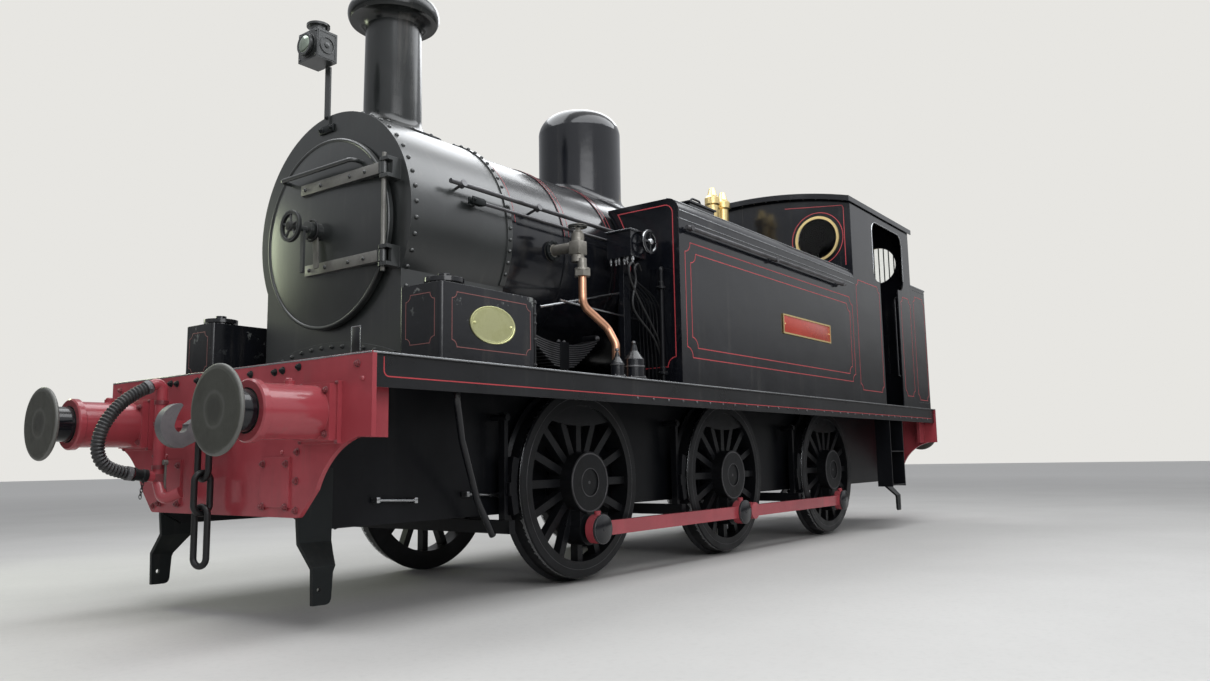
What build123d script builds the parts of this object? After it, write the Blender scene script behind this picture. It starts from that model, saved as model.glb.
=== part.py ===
"""Six-coupled steam side-tank locomotive with inside cylinders, at its real size.

X runs forward, Y to the left and Z up. The origin is on the floor under the middle of the engine,
level with the bottoms of the wheel flanges.
"""
from build123d import *
from math import asin, cos, pi, radians, sin, sqrt, tan
import os

# Driving dimensions in millimetres
FLANGE_DEPTH = 28
FRAME_LENGTH = 8560
BODY_WIDTH = 2510
BUFFER_REACH = 563
BEAM_THICK = 26
PLATE = 10


def rail(height):
    """Height above the floor of a place that stands so high above the rail top."""
    return height + FLANGE_DEPTH


def back(distance):
    """X of a place that lies so far behind the face of the front buffer beam."""
    return FRAME_LENGTH / 2 - distance


HALF_WIDTH = BODY_WIDTH / 2
FOOTPLATE_TOP = rail(1307)
FOOTPLATE_UNDER = FOOTPLATE_TOP - PLATE
VALANCE_BOTTOM = rail(1140)
VALANCE_THICK = 12
SIDE_PLANE = HALF_WIDTH - 20

# Wheels, axles and rods
TREAD_RADIUS = 628
AXLE_HEIGHT = rail(TREAD_RADIUS)
AXLE_BACK = {"front": 2140, "middle": 4120, "rear": 6250}
AXLE_RADIUS = 90
WHEEL_INNER = 680
WHEEL_OUTER = 820
RIM_INNER_RADIUS = 520
HUB_RADIUS = 205
HUB_FACE = 880
SPOKES = 16
SPOKE_HALF = 26
CRANK_THROW = 305
PIN_RADIUS = 48
COLLAR_RADIUS = 62
CRANK_BOSS_RADIUS = 108
ROD_INNER = 905
ROD_THICK = 62
ROD_OUTER = ROD_INNER + ROD_THICK
ROD_DEPTH = 95
ROD_EYE_RADIUS = 96
RUNNING_FIT = 1.5
LEFT_PIN_ANGLE = -90
RIGHT_PIN_ANGLE = 0

# Main frames
FRAME_OUTER = 650
FRAME_THICK = 28
FRAME_INNER = FRAME_OUTER - FRAME_THICK
FRAME_BOTTOM = rail(450)
FRAME_TOE = rail(520)
DRAG_BOX = (rail(800), rail(1120))
MOTION_PLATE_BACK = 2480
STAY_THICK = 25
CYLINDER_Y = 300

# Boiler, smokebox and their fittings
BOILER_AXIS = rail(2232)
BOILER_RADIUS = 720
SMOKEBOX_RADIUS = 738
SMOKEBOX_FRONT = 681
SMOKEBOX_BACK = 1530
SMOKEBOX_WALL = 14
FRONT_RING = 22
WING_HALF = 655
DOOR_AXIS = rail(2190)
DOOR_RADIUS = 598
DOOR_MOUTH_RADIUS = 545
DOOR_GAP = 14
DOOR_DISH = 78
HINGE_Y = 585
HINGE_AHEAD = 75
HINGE_PIN_RADIUS = 13
STRAP_HALF = 34
STRAP_HEIGHTS = (rail(2480), rail(1960))
STRAP_INNER_ENDS = (-180, -120)
ARCH_HALF = 620
ARCH_TOP = rail(1512)
ARCH_RADIUS = 2000
CHIMNEY_BACK = 1155
CHIMNEY_TOP = rail(3950)
CHIMNEY_RADIUS = 192
FLUE_RADIUS = 150
SADDLE_THICK = 14
DOME_BACK = 3200
DOME_RADIUS = 348
DOME_TOP = rail(3720)
VALVE_BACK = (5470, 5690)
VALVE_TOP = rail(3600)
FIREBOX_FRONT = 4420
FIREBOX_HALF = 585
BAND_BACK = (1560, 2120, 2680, 3720, 4420, 5150, 5900)
BAND_HALF = 30
BAND_RISE = 7

# Tanks, cab and bunker
TANK_FRONT = 2780
TANK_TOP = rail(2680)
TANK_INNER = 675
TANK_OUTER = SIDE_PLANE
TANK_EDGE_RADIUS = 100
TANK_CLEARANCE = 12
CAB_FRONT = 6150
CAB_BACK = 7950
CAB_WALL = 12
EAVE = rail(3430)
CROWN = rail(3600)
ROOF_OVERHANG = 70
WINDOW_Y = 865
WINDOW_Z = rail(3040)
WINDOW_RADIUS = 215
BUNKER_BACK = 8500
BUNKER_TOP = rail(2750)

# Buffers and draw gear
BUFFER_Y = 885
BUFFER_Z = rail(1029)
BUFFER_HEAD_RADIUS = 205
HOOK_Z = rail(990)

nodes = {}


# Helpers
def slab(x, y, z):
    """A block between two limits along each axis."""
    place = Pos((x[0] + x[1]) / 2, (y[0] + y[1]) / 2, (z[0] + z[1]) / 2)
    return place * Box(abs(x[1] - x[0]), abs(y[1] - y[0]), abs(z[1] - z[0]))


def widened(span, margin):
    """A span with the same margin added at each end."""
    return (span[0] - margin, span[1] + margin)


def outline(*lines):
    """A face inside joined lines and arcs."""
    return make_face([edge for line in lines for edge in line.edges()])


def polygon(*points):
    """A face inside straight lines from point to point."""
    return outline(Polyline(*points, close=True))


def from_side(face, y_from, y_to):
    """A plate whose outline is drawn in X and Z."""
    return extrude(Plane((0, y_to, 0), x_dir=(1, 0, 0), z_dir=(0, -1, 0)) * face, y_to - y_from)


def from_front(face, x_from, x_to):
    """A plate whose outline is drawn in Y and Z."""
    return extrude(Plane((x_from, 0, 0), x_dir=(0, 1, 0), z_dir=(1, 0, 0)) * face, x_to - x_from)


TURN = {"x": Rot(0, 0, -90), "y": Rot(0, 0, 0), "z": Rot(90, 0, 0)}


def turned(face, place, axis):
    """A solid of revolution from a face drawn as radius and distance along the axis."""
    return Pos(*place) * TURN[axis] * revolve(face, Axis.Y)


def drum(place, axis, radius, start, end):
    """A cylinder about an axis through the place, between two distances along it."""
    return turned(polygon((0, start), (radius, start), (radius, end), (0, end)), place, axis)


def ring(place, axis, inner, outer, start, end):
    """A flat ring about an axis through the place."""
    face = polygon((inner, start), (outer, start), (outer, end), (inner, end))
    return turned(face, place, axis)


def bar(start, end, diameter):
    """A round bar between two points."""
    way = Vector(*end) - Vector(*start)
    section = Plane(Vector(*start), z_dir=way) * Circle(diameter / 2)
    return extrude(section, way.length)


def bent_pipe(points, radii, diameter):
    """A pipe along straight runs that are joined by arcs."""
    path = FilletPolyline(*points, radius=radii)
    start = Vector(*points[0])
    section = Plane(start, z_dir=Vector(*points[1]) - start) * Circle(diameter / 2)
    return sweep(section, path=path)


def hoop(start, end, stand_off, bend, diameter):
    """A grab rail whose two ends turn back to the sheet that carries it."""
    way = Vector(*stand_off)
    points = (start, tuple(Vector(*start) + way), tuple(Vector(*end) + way), end)
    return bent_pipe(points, [bend, bend], diameter)


def fused(*solids):
    """One solid from several that share faces or overlap."""
    whole = solids[0]
    for solid in solids[1:]:
        whole = whole + solid
    return whole


def mirrored(shape):
    """The same piece on the other side of the engine."""
    return mirror(shape, Plane.XZ)


def faced(shape, x, sign):
    """A piece drawn at X zero for the front, set at a beam and turned round for the rear."""
    return Pos(x, 0, 0) * (shape if sign > 0 else mirror(shape, Plane.YZ))


def save(name, *shapes):
    """Keep the solids of one node until all are written."""
    nodes[name] = shapes


# Main frames, stays and cylinders
HORN_HALF = 190
HORN_STAND = 12
HORN_TOP = rail(930)
AXLEBOX_HALF = 130
AXLEBOX_DEEP = 60
AXLEBOX_STAND = 22
AXLEBOX_SPAN = (rail(430), rail(800))


def frame_plate():
    """The left main frame with its horn guides and axleboxes."""
    front, rear = back(BEAM_THICK), back(FRAME_LENGTH - BEAM_THICK)
    toe = 115
    plate = from_side(
        polygon(
            (front, FOOTPLATE_UNDER), (front, FRAME_TOE), (front - toe, FRAME_BOTTOM),
            (rear + toe, FRAME_BOTTOM), (rear, FRAME_TOE), (rear, FOOTPLATE_UNDER),
        ),
        FRAME_INNER,
        FRAME_OUTER,
    )
    for distance in AXLE_BACK.values():
        x = back(distance)
        horn = slab(
            (x - HORN_HALF, x + HORN_HALF), (FRAME_INNER, FRAME_OUTER + HORN_STAND), (FRAME_BOTTOM, HORN_TOP)
        )
        box = slab(
            (x - AXLEBOX_HALF, x + AXLEBOX_HALF),
            (FRAME_INNER - AXLEBOX_DEEP, FRAME_OUTER + AXLEBOX_STAND),
            AXLEBOX_SPAN,
        )
        bore = drum((x, 0, AXLE_HEIGHT), "y", AXLE_RADIUS + RUNNING_FIT, FRAME_INNER / 2, WHEEL_INNER)
        plate = plate + horn + box - bore
    return plate


def frame_stays():
    """Cross members between the frames."""
    across = (-FRAME_INNER, FRAME_INNER)
    front_box_back, rear_box_back = 330, FRAME_LENGTH - 480
    middle_back, rear_back = 3560, 6800
    middle_span = (rail(520), rail(1180))
    motion_foot, motion_hole_radius, motion_hole_z = rail(620), 170, rail(960)
    drag_box_front = slab((back(BEAM_THICK), back(front_box_back)), across, DRAG_BOX)
    drag_box_rear = slab((back(FRAME_LENGTH - BEAM_THICK), back(rear_box_back)), across, DRAG_BOX)
    motion_x = back(MOTION_PLATE_BACK)
    motion_plate = slab((motion_x, motion_x - STAY_THICK), across, (motion_foot, FOOTPLATE_UNDER))
    for side in (-1, 1):
        centre = (motion_x, side * CYLINDER_Y, motion_hole_z)
        motion_plate = motion_plate - drum(centre, "x", motion_hole_radius, -2 * STAY_THICK, STAY_THICK)
    stay_middle = slab((back(middle_back), back(middle_back) - STAY_THICK), across, middle_span)
    stay_rear = slab((back(rear_back), back(rear_back) - STAY_THICK), across, (FRAME_TOE, FOOTPLATE_UNDER))
    return [drag_box_front, drag_box_rear, motion_plate, stay_middle, stay_rear]


CYLINDER_FRONT = 720
CYLINDER_REAR = 1400
CYLINDER_Z = rail(985)
CYLINDER_TOP = rail(1285)
SLIDE_HEIGHTS = (rail(865), rail(1075))
SLIDE_HALF = 40
CROSSHEAD_BACK = (1800, 2000)


def cylinder_block():
    """Inside cylinders with the steam chest, covers, slide bars and crossheads."""
    front, rear = back(CYLINDER_FRONT), back(CYLINDER_REAR)
    foot_front, foot_rear, heel, heel_x = rail(820), rail(760), rail(700), rear + 100
    cover_radius, cover_bore, cover_thick = 255, 60, 30
    gland_radius, gland_long, rod_radius = 90, 120, 30
    block = from_side(
        polygon(
            (front, foot_front), (front, CYLINDER_TOP), (rear, CYLINDER_TOP), (rear, foot_rear), (heel_x, heel)
        ),
        -FRAME_INNER,
        FRAME_INNER,
    )
    for y in (-CYLINDER_Y, CYLINDER_Y):
        cover = ring((front, y, CYLINDER_Z), "x", cover_bore, cover_radius, 0, cover_thick)
        gland = drum((rear, y, CYLINDER_Z), "x", gland_radius, -gland_long, 0)
        piston_rod = drum((rear, y, CYLINDER_Z), "x", rod_radius, back(CROSSHEAD_BACK[0]) - rear, -gland_long)
        block = fused(block, cover, gland, piston_rod)
        for height in SLIDE_HEIGHTS:
            slide_y = (y - SLIDE_HALF, y + SLIDE_HALF)
            slide = slab((back(MOTION_PLATE_BACK), rear), slide_y, (height, height + SLIDE_HALF))
            block = block + slide
        crosshead = slab(
            [back(distance) for distance in CROSSHEAD_BACK],
            (y - SLIDE_HALF - 10, y + SLIDE_HALF + 10),
            (SLIDE_HEIGHTS[0] + SLIDE_HALF, SLIDE_HEIGHTS[1]),
        )
        block = block + crosshead
    return block


# Buffer beams, buffers and draw gear
BEAM_SHELF = rail(908)
BEAM_FOOT = rail(520)
BEAM_FOOT_HALF = 710
BEAM_FOOT_CORNER = 45
BEAM_CURVE = ((845, rail(660)), (935, rail(790)), (1160, BEAM_SHELF))
PATCH_Y = (390, 640)
PATCH_Z = (rail(570), rail(820))
PATCH_THICK = 10
GUSSET_Y = (1085, 1115)
GUSSET_LONG = 190


def beam_face():
    """The beam is full width above, with a hollow curve down to its narrow foot."""
    left = [
        FilletPolyline(
            (0, BEAM_FOOT), (BEAM_FOOT_HALF, BEAM_FOOT), BEAM_CURVE[0], radius=BEAM_FOOT_CORNER
        ),
        ThreePointArc(*BEAM_CURVE),
        Polyline(BEAM_CURVE[2], (HALF_WIDTH, BEAM_SHELF), (HALF_WIDTH, FOOTPLATE_TOP)),
    ]
    right = [mirror(line, Plane.YZ) for line in left]
    top = Line((HALF_WIDTH, FOOTPLATE_TOP), (-HALF_WIDTH, FOOTPLATE_TOP))
    return outline(*left, *right, top)


def buffer_beam(outer_x, sign):
    """A beam plate with the square plates that stand on its face and the gussets behind it."""
    beam = from_front(beam_face(), -BEAM_THICK, 0)
    for side in (-1, 1):
        patch = slab((0, PATCH_THICK), [side * y for y in PATCH_Y], PATCH_Z)
        gusset_y = [side * y for y in GUSSET_Y]
        gusset = slab((-BEAM_THICK - GUSSET_LONG, -BEAM_THICK), gusset_y, (BEAM_SHELF, FOOTPLATE_UNDER))
        beam = fused(beam, patch, gusset)
    return faced(beam, outer_x, sign)


PLUNGER_START = 60


def buffer_housing(outer_x, sign, side):
    """A flanged housing on a packing plate, with a mouth ring for the plunger and an oil cup on top."""
    packing_half, packing_thick = 150, 24
    flange_half, flange_front = 135, PLUNGER_START
    bore, waist, lip = 105, 131, 146
    lip_start, lip_full, mouth, mouth_bevel = 362, 372, 410, 8
    cup_x, cup_low, cup_high, cup_across = 190, 120, 148, 50
    y, z = side * BUFFER_Y, BUFFER_Z
    middle = (y, z)
    packing = slab((0, packing_thick), *[(place - packing_half, place + packing_half) for place in middle])
    flange = slab((0, flange_front), *[(place - flange_half, place + flange_half) for place in middle])
    tube = turned(
        polygon(
            (bore, flange_front), (waist, flange_front), (waist, lip_start), (lip, lip_full),
            (lip, mouth - mouth_bevel), (lip - mouth_bevel, mouth), (bore, mouth),
        ),
        (0, y, z),
        "x",
    )
    cup = bar((cup_x, y, z + cup_low), (cup_x, y, z + cup_high), cup_across)
    return faced(fused(packing, flange, tube, cup), outer_x, sign)


def buffer_head(outer_x, sign, side):
    """A flat disc with a plunger that stays inside its housing."""
    plunger, start = 98, PLUNGER_START
    cone, shoulder, crest = BUFFER_REACH - 60, BUFFER_REACH - 26, BUFFER_REACH - 16
    lip, bevel = BUFFER_REACH - 5, 25
    radius = BUFFER_HEAD_RADIUS
    face = outline(
        Polyline((0, BUFFER_REACH), (0, start), (plunger, start), (plunger, cone), (radius - 8, shoulder)),
        ThreePointArc((radius - 8, shoulder), (radius, crest), (radius - 6, lip)),
        Polyline((radius - 6, lip), (radius - bevel, BUFFER_REACH), (0, BUFFER_REACH)),
    )
    return faced(turned(face, (0, side * BUFFER_Y, BUFFER_Z), "x"), outer_x, sign)


HOOK_HALF = 30
CHAIN_X = 98
SHACKLE_PIN_Z = HOOK_Z - 5
SHACKLE_PIN_RADIUS = 17
LINK_THICK = 34


def hook_face():
    """The hook from the side: shank, round throat and a bill that tapers up and back to its tip."""
    shank_top, shank_low, shank_end, heel = HOOK_Z + 40, HOOK_Z - 50, 165, 100
    neck, throat, bill = (205, HOOK_Z + 12), (242, HOOK_Z - 33), (279, HOOK_Z + 4)
    bill_middle, tip = (264, HOOK_Z + 55), (236, HOOK_Z + 108)
    tip_crown, tip_front = (242, HOOK_Z + 117), (256, HOOK_Z + 120)
    crest, belly = (354, HOOK_Z + 6), (230, HOOK_Z - 112)
    return outline(
        Polyline((0, shank_low), (0, shank_top), (shank_end, shank_top), neck),
        ThreePointArc(neck, throat, bill),
        ThreePointArc(bill, bill_middle, tip),
        ThreePointArc(tip, tip_crown, tip_front),
        ThreePointArc(tip_front, crest, belly),
        Polyline(belly, (heel, shank_low), (0, shank_low)),
    )


def drawhook(outer_x, sign):
    """The hook with its base plate, and a hole across the shank for the pin of the shackle."""
    base_half, base_thick, base_span = 110, 20, (rail(880), rail(1120))
    pin_gap = 0.3
    base = slab((0, base_thick), (-base_half, base_half), base_span)
    hook = from_side(hook_face(), -HOOK_HALF, HOOK_HALF)
    pin_hole = drum(
        (CHAIN_X, 0, SHACKLE_PIN_Z), "y", SHACKLE_PIN_RADIUS + pin_gap, -2 * HOOK_HALF, 2 * HOOK_HALF
    )
    return faced(fused(base, hook) - pin_hole, outer_x, sign)


def chain_link(middle_z, half_long, half_wide, turn):
    """An oval link that hangs upright, turned about Z from the plane across the engine."""
    straight = half_long - half_wide
    path = Wire([
        *Line((half_wide, -straight), (half_wide, straight)).edges(),
        *ThreePointArc((half_wide, straight), (0, half_long), (-half_wide, straight)).edges(),
        *Line((-half_wide, straight), (-half_wide, -straight)).edges(),
        *ThreePointArc((-half_wide, -straight), (0, -half_long), (half_wide, -straight)).edges(),
    ])
    section = Plane((half_wide, -straight, 0), x_dir=(1, 0, 0), z_dir=(0, 1, 0)) * Circle(LINK_THICK / 2)
    upright = Rot(0, 0, 90) * Rot(90, 0, 0) * sweep(section, path=path)
    return Pos(CHAIN_X, 0, middle_z) * Rot(0, 0, turn) * upright


def coupling_chain(outer_x, sign):
    """A shackle pinned through the hook's shank, with a middle link and a long end link below."""
    shackle_half, shackle_low = 54, rail(712)
    middle_half, middle_span, middle_turn = 45, (rail(533), rail(747)), 90
    end_half, end_span, end_turn = 44, (rail(259), rail(568)), 15
    eye_radius, eye_half, pin_half = 30, 17, 84
    right_leg = [(CHAIN_X, -shackle_half, z) for z in (SHACKLE_PIN_Z, shackle_low + shackle_half)]
    left_leg = [(x, -y, z) for x, y, z in reversed(right_leg)]
    path = Wire([
        *Line(*right_leg).edges(),
        *ThreePointArc(right_leg[1], (CHAIN_X, 0, shackle_low), left_leg[0]).edges(),
        *Line(*left_leg).edges(),
    ])
    shackle = sweep(Plane(right_leg[0], z_dir=(0, 0, -1)) * Circle(LINK_THICK / 2), path=path)
    for y in (-shackle_half, shackle_half):
        shackle = shackle + drum((CHAIN_X, y, SHACKLE_PIN_Z), "y", eye_radius, -eye_half, eye_half)
    shackle = shackle + drum((CHAIN_X, 0, SHACKLE_PIN_Z), "y", SHACKLE_PIN_RADIUS, -pin_half, pin_half)
    links = [
        chain_link(sum(span) / 2, (span[1] - span[0]) / 2, half, turn)
        for span, half, turn in ((middle_span, middle_half, middle_turn), (end_span, end_half, end_turn))
    ]
    return [faced(piece, outer_x, sign) for piece in (shackle, *links)]


PIPE_X = 120
PIPE_Y = -420
PIPE_DIAMETER = 62
PLUG_DIAMETER = 58
SWAN_TOP = rail(1262)
HOSE_DIAMETER = 72
HOSE_ROUTE = (
    (180, 1232),
    (286, 1179),
    (385, 1085),
    (450, 965),
    (455, 845),
    (385, 765),
    (262, 745),
)


def brake_pipe(outer_x, sign):
    """A standpipe with a swan neck, clipped to the beam, and its dummy coupling."""
    tail_x, tail_y, knee_y = 60, 130, 60
    tail_z, knee_z, elbow_z = rail(640), rail(600), rail(700)
    clip_half, clip_span, plug_z = 45, (rail(1000), rail(1040)), rail(722)
    y = PIPE_Y
    pipe = bent_pipe(
        (
            (tail_x, y + tail_y, tail_z), (PIPE_X, y + knee_y, knee_z), (PIPE_X, y, elbow_z),
            (PIPE_X, y, SWAN_TOP), (HOSE_ROUTE[0][0], y, rail(HOSE_ROUTE[0][1])),
        ),
        [40, 45, 30],
        PIPE_DIAMETER,
    )
    clip = slab((0, PIPE_X), (y - clip_half, y + clip_half), clip_span)
    plug = bar((PIPE_X, y, plug_z), (HOSE_ROUTE[-1][0], y, rail(HOSE_ROUTE[-1][1])), PLUG_DIAMETER)
    whole = fused(pipe, clip, plug)
    return Pos(outer_x, 0, 0) * (whole if sign > 0 else Rot(0, 0, 180) * whole)


def corner_radii(points):
    """As large a radius at each corner as its two runs allow."""
    share = 0.45
    radii = []
    for before, here, after in zip(points, points[1:], points[2:]):
        first = Vector(*here) - Vector(*before)
        second = Vector(*after) - Vector(*here)
        turn = radians(first.get_angle(second))
        radii.append(share * min(first.length, second.length) / tan(turn / 2))
    return radii


def brake_hose():
    """The ribbed hose that hangs from the swan neck to the dummy coupling."""
    points = [(back(0) + x, PIPE_Y, rail(height)) for x, height in HOSE_ROUTE]
    radii = corner_radii(points)
    hose = bent_pipe(points, radii, HOSE_DIAMETER)
    length = FilletPolyline(*points, radius=radii).length
    ideal = pi / 4 * HOSE_DIAMETER ** 2 * length
    print("hose radii", [round(radius) for radius in radii])
    print("hose length", round(length), "volume ratio", round(hose.volume / ideal, 4))
    return hose


GUARD_THICK = 22
GUARD_OUTLINE = (
    (26, 760), (26, 500), (36, 380), (44, 98), (150, 96), (160, 250), (203, 345), (228, 395), (230, 760)
)
GUARD_FOOT_CORNER = 34
GUARD_STEP = 109
GUARD_STEP_SPAN = (rail(271), rail(386))
GUARD_STEP_SKEW = 9
GUARD_HOLE = (80, 172, 12)


def guard_irons(sign):
    """Bent strips that hang ahead of the end wheels, bolted to the frames and stepped out over the rails."""
    points = [(-inward, rail(z)) for inward, z in GUARD_OUTLINE]
    rear_foot, above = Vector(*points[4]), Vector(*points[5])
    rise = above - rear_foot
    rounded = rear_foot + rise.normalized() * GUARD_FOOT_CORNER
    foot_end = (points[4][0] + GUARD_FOOT_CORNER, points[4][1])
    side_face = outline(
        Polyline(*points[:4], foot_end),
        Spline(foot_end, (rounded.X, rounded.Y), tangents=((-1, 0), (rise.X, rise.Y))),
        Polyline((rounded.X, rounded.Y), *points[5:], points[0]),
    )
    low, high = GUARD_STEP_SPAN
    top, foot = points[0][1], points[3][1] - GUARD_THICK
    inner, outer = FRAME_OUTER, FRAME_OUTER + GUARD_THICK
    bent_face = polygon(
        (inner, top), (inner, high), (inner + GUARD_STEP, low), (inner + GUARD_STEP, foot),
        (outer + GUARD_STEP, foot), (outer + GUARD_STEP, low + GUARD_STEP_SKEW),
        (outer, high + GUARD_STEP_SKEW), (outer, top),
    )
    bent = from_front(bent_face, points[-1][0] - GUARD_THICK, 0)
    iron = from_side(side_face, inner, outer + GUARD_STEP) & bent
    distance, height, radius = GUARD_HOLE
    hole = drum((-distance, 0, rail(height)), "y", radius, inner, outer + 2 * GUARD_STEP)
    iron = Pos(FRAME_LENGTH / 2, 0, 0) * (iron - hole)
    return [Rot(0, 0, 0 if sign > 0 else 180) * piece for piece in (iron, mirrored(iron))]


# Footplate
def valance(x_from, x_to, side):
    """The plate that hangs along one edge of the footplate."""
    across = (side * (SIDE_PLANE - VALANCE_THICK), side * SIDE_PLANE)
    return slab((x_from, x_to), across, (VALANCE_BOTTOM, FOOTPLATE_UNDER))


def footplate(x_from, x_to):
    """Platform across the whole engine with both its valances."""
    plate = slab((x_from, x_to), (-HALF_WIDTH, HALF_WIDTH), (FOOTPLATE_UNDER, FOOTPLATE_TOP))
    return fused(plate, valance(x_from, x_to, 1), valance(x_from, x_to, -1))


def running_board():
    """The left board between the front platform and the cab."""
    x_from, x_to = back(CAB_FRONT), back(SMOKEBOX_BACK) - 1
    plate = slab((x_from, x_to), (FRAME_INNER, HALF_WIDTH), (FOOTPLATE_UNDER, FOOTPLATE_TOP))
    return fused(plate, valance(x_from, x_to, 1))


DOORWAY_BACK = (6930, 7500)
STEP_BACK = (7020, 7420)
STEP_HEIGHTS = (rail(440), rail(800))
STEP_INNER = 1060
STEP_THICK = 12
STRINGER_HALF = 8
STRINGER_FOOT = rail(430)


def cab_steps():
    """The left ladder below the doorway: two stringers with two treads between them."""
    across = (STEP_INNER, SIDE_PLANE - VALANCE_THICK - 1)
    front, rear = (back(distance) for distance in STEP_BACK)
    steps = []
    for x in (front, rear):
        steps.append(slab((x - STRINGER_HALF, x + STRINGER_HALF), across, (STRINGER_FOOT, FOOTPLATE_UNDER)))
    for height in STEP_HEIGHTS:
        steps.append(slab((rear, front), across, (height, height + STEP_THICK)))
    return fused(*steps)


# Smokebox, boiler and mountings
CHAMBER_INSET = 20
SEAT_OUTER = DOOR_MOUTH_RADIUS + 20
SEAT_LONG = DOOR_GAP - 0.5
LIP_RISE = 9
LIP_LONG = 45
LIP_FOOT = BOILER_AXIS - 330
LUG_HALF = 62
LUG_ARM = 22
LUG_WEB_SETBACK = 14
LUG_EYE_RADIUS = 27
LUG_Y = (HINGE_Y + 30, HINGE_Y + 58)
ARCH_THICK = 14


def smokebox_front_face():
    """Circle with straight wings that come down to the footplate."""
    join_z = BOILER_AXIS - SMOKEBOX_RADIUS * cos(asin(WING_HALF / SMOKEBOX_RADIUS))
    return outline(
        ThreePointArc((WING_HALF, join_z), (0, BOILER_AXIS + SMOKEBOX_RADIUS), (-WING_HALF, join_z)),
        Polyline(
            (-WING_HALF, join_z), (-WING_HALF, FOOTPLATE_TOP), (WING_HALF, FOOTPLATE_TOP), (WING_HALF, join_z)
        ),
    )


def front_arch():
    """The low arched plate that is bolted over the foot of the front plate."""
    ends_z = ARCH_TOP - ARCH_RADIUS + sqrt(ARCH_RADIUS ** 2 - ARCH_HALF ** 2)
    face = outline(
        ThreePointArc((ARCH_HALF, ends_z), (0, ARCH_TOP), (-ARCH_HALF, ends_z)),
        Polyline(
            (-ARCH_HALF, ends_z), (-ARCH_HALF, FOOTPLATE_TOP), (ARCH_HALF, FOOTPLATE_TOP), (ARCH_HALF, ends_z)
        ),
    )
    return from_front(face, back(SMOKEBOX_FRONT), back(SMOKEBOX_FRONT) + ARCH_THICK)


def smokebox():
    """Hollow drum on a saddle, with the front plate, the seat of the door and its hinge lugs."""
    front, rear = back(SMOKEBOX_FRONT), back(SMOKEBOX_BACK)
    axis, door_axis = (0, 0, BOILER_AXIS), (front, 0, DOOR_AXIS)
    body = from_front(smokebox_front_face(), rear, front)
    chamber = drum(axis, "x", SMOKEBOX_RADIUS - SMOKEBOX_WALL, rear + CHAMBER_INSET, front - FRONT_RING)
    mouth = drum(door_axis, "x", DOOR_MOUTH_RADIUS, -2 * FRONT_RING, FRONT_RING)
    seat = ring(door_axis, "x", DOOR_MOUTH_RADIUS, SEAT_OUTER, -1, SEAT_LONG)
    lip = ring(axis, "x", SMOKEBOX_RADIUS - 1, SMOKEBOX_RADIUS + LIP_RISE, rear, rear + LIP_LONG)
    lip = lip - slab((rear - LIP_LONG, rear + 2 * LIP_LONG), (-HALF_WIDTH, HALF_WIDTH), (0, LIP_FOOT))
    flue = drum((back(CHIMNEY_BACK), 0, 0), "z", FLUE_RADIUS, BOILER_AXIS, BOILER_AXIS + 2 * SMOKEBOX_RADIUS)
    box = fused(body - chamber - mouth - flue, seat, lip, front_arch())
    pin_x = front + HINGE_AHEAD
    for height in STRAP_HEIGHTS:
        low, high = height - LUG_HALF, height + LUG_HALF
        box = box + slab((front, pin_x - LUG_WEB_SETBACK), LUG_Y, (low, high))
        for arm_low in (low, high - LUG_ARM):
            arm_span = (arm_low, arm_low + LUG_ARM)
            arm = slab((front, pin_x + LUG_ARM), (HINGE_Y, LUG_Y[1]), arm_span)
            eye = drum((pin_x, HINGE_Y, 0), "z", LUG_EYE_RADIUS, *arm_span)
            box = fused(box, arm, eye)
    pin_hole = drum(
        (pin_x, HINGE_Y, 0), "z", HINGE_PIN_RADIUS + RUNNING_FIT,
        STRAP_HEIGHTS[1] - 2 * LUG_HALF, STRAP_HEIGHTS[0] + 2 * LUG_HALF,
    )
    return box - pin_hole


DOOR_RIM = 26
STRAP_AHEAD = 22
STRAP_BEHIND = 8
PAD_LONG = 60
OUTER_PAD_Y = (400, 470)
HANDWHEEL_AHEAD = 273
HANDWHEEL_INNER = 74
HANDWHEEL_OUTER = 96
HANDWHEEL_SPOKES = 5
DOOR_RAIL_Z = rail(2572)
DOOR_RAIL_ENDS = (-360, 350)


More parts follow.
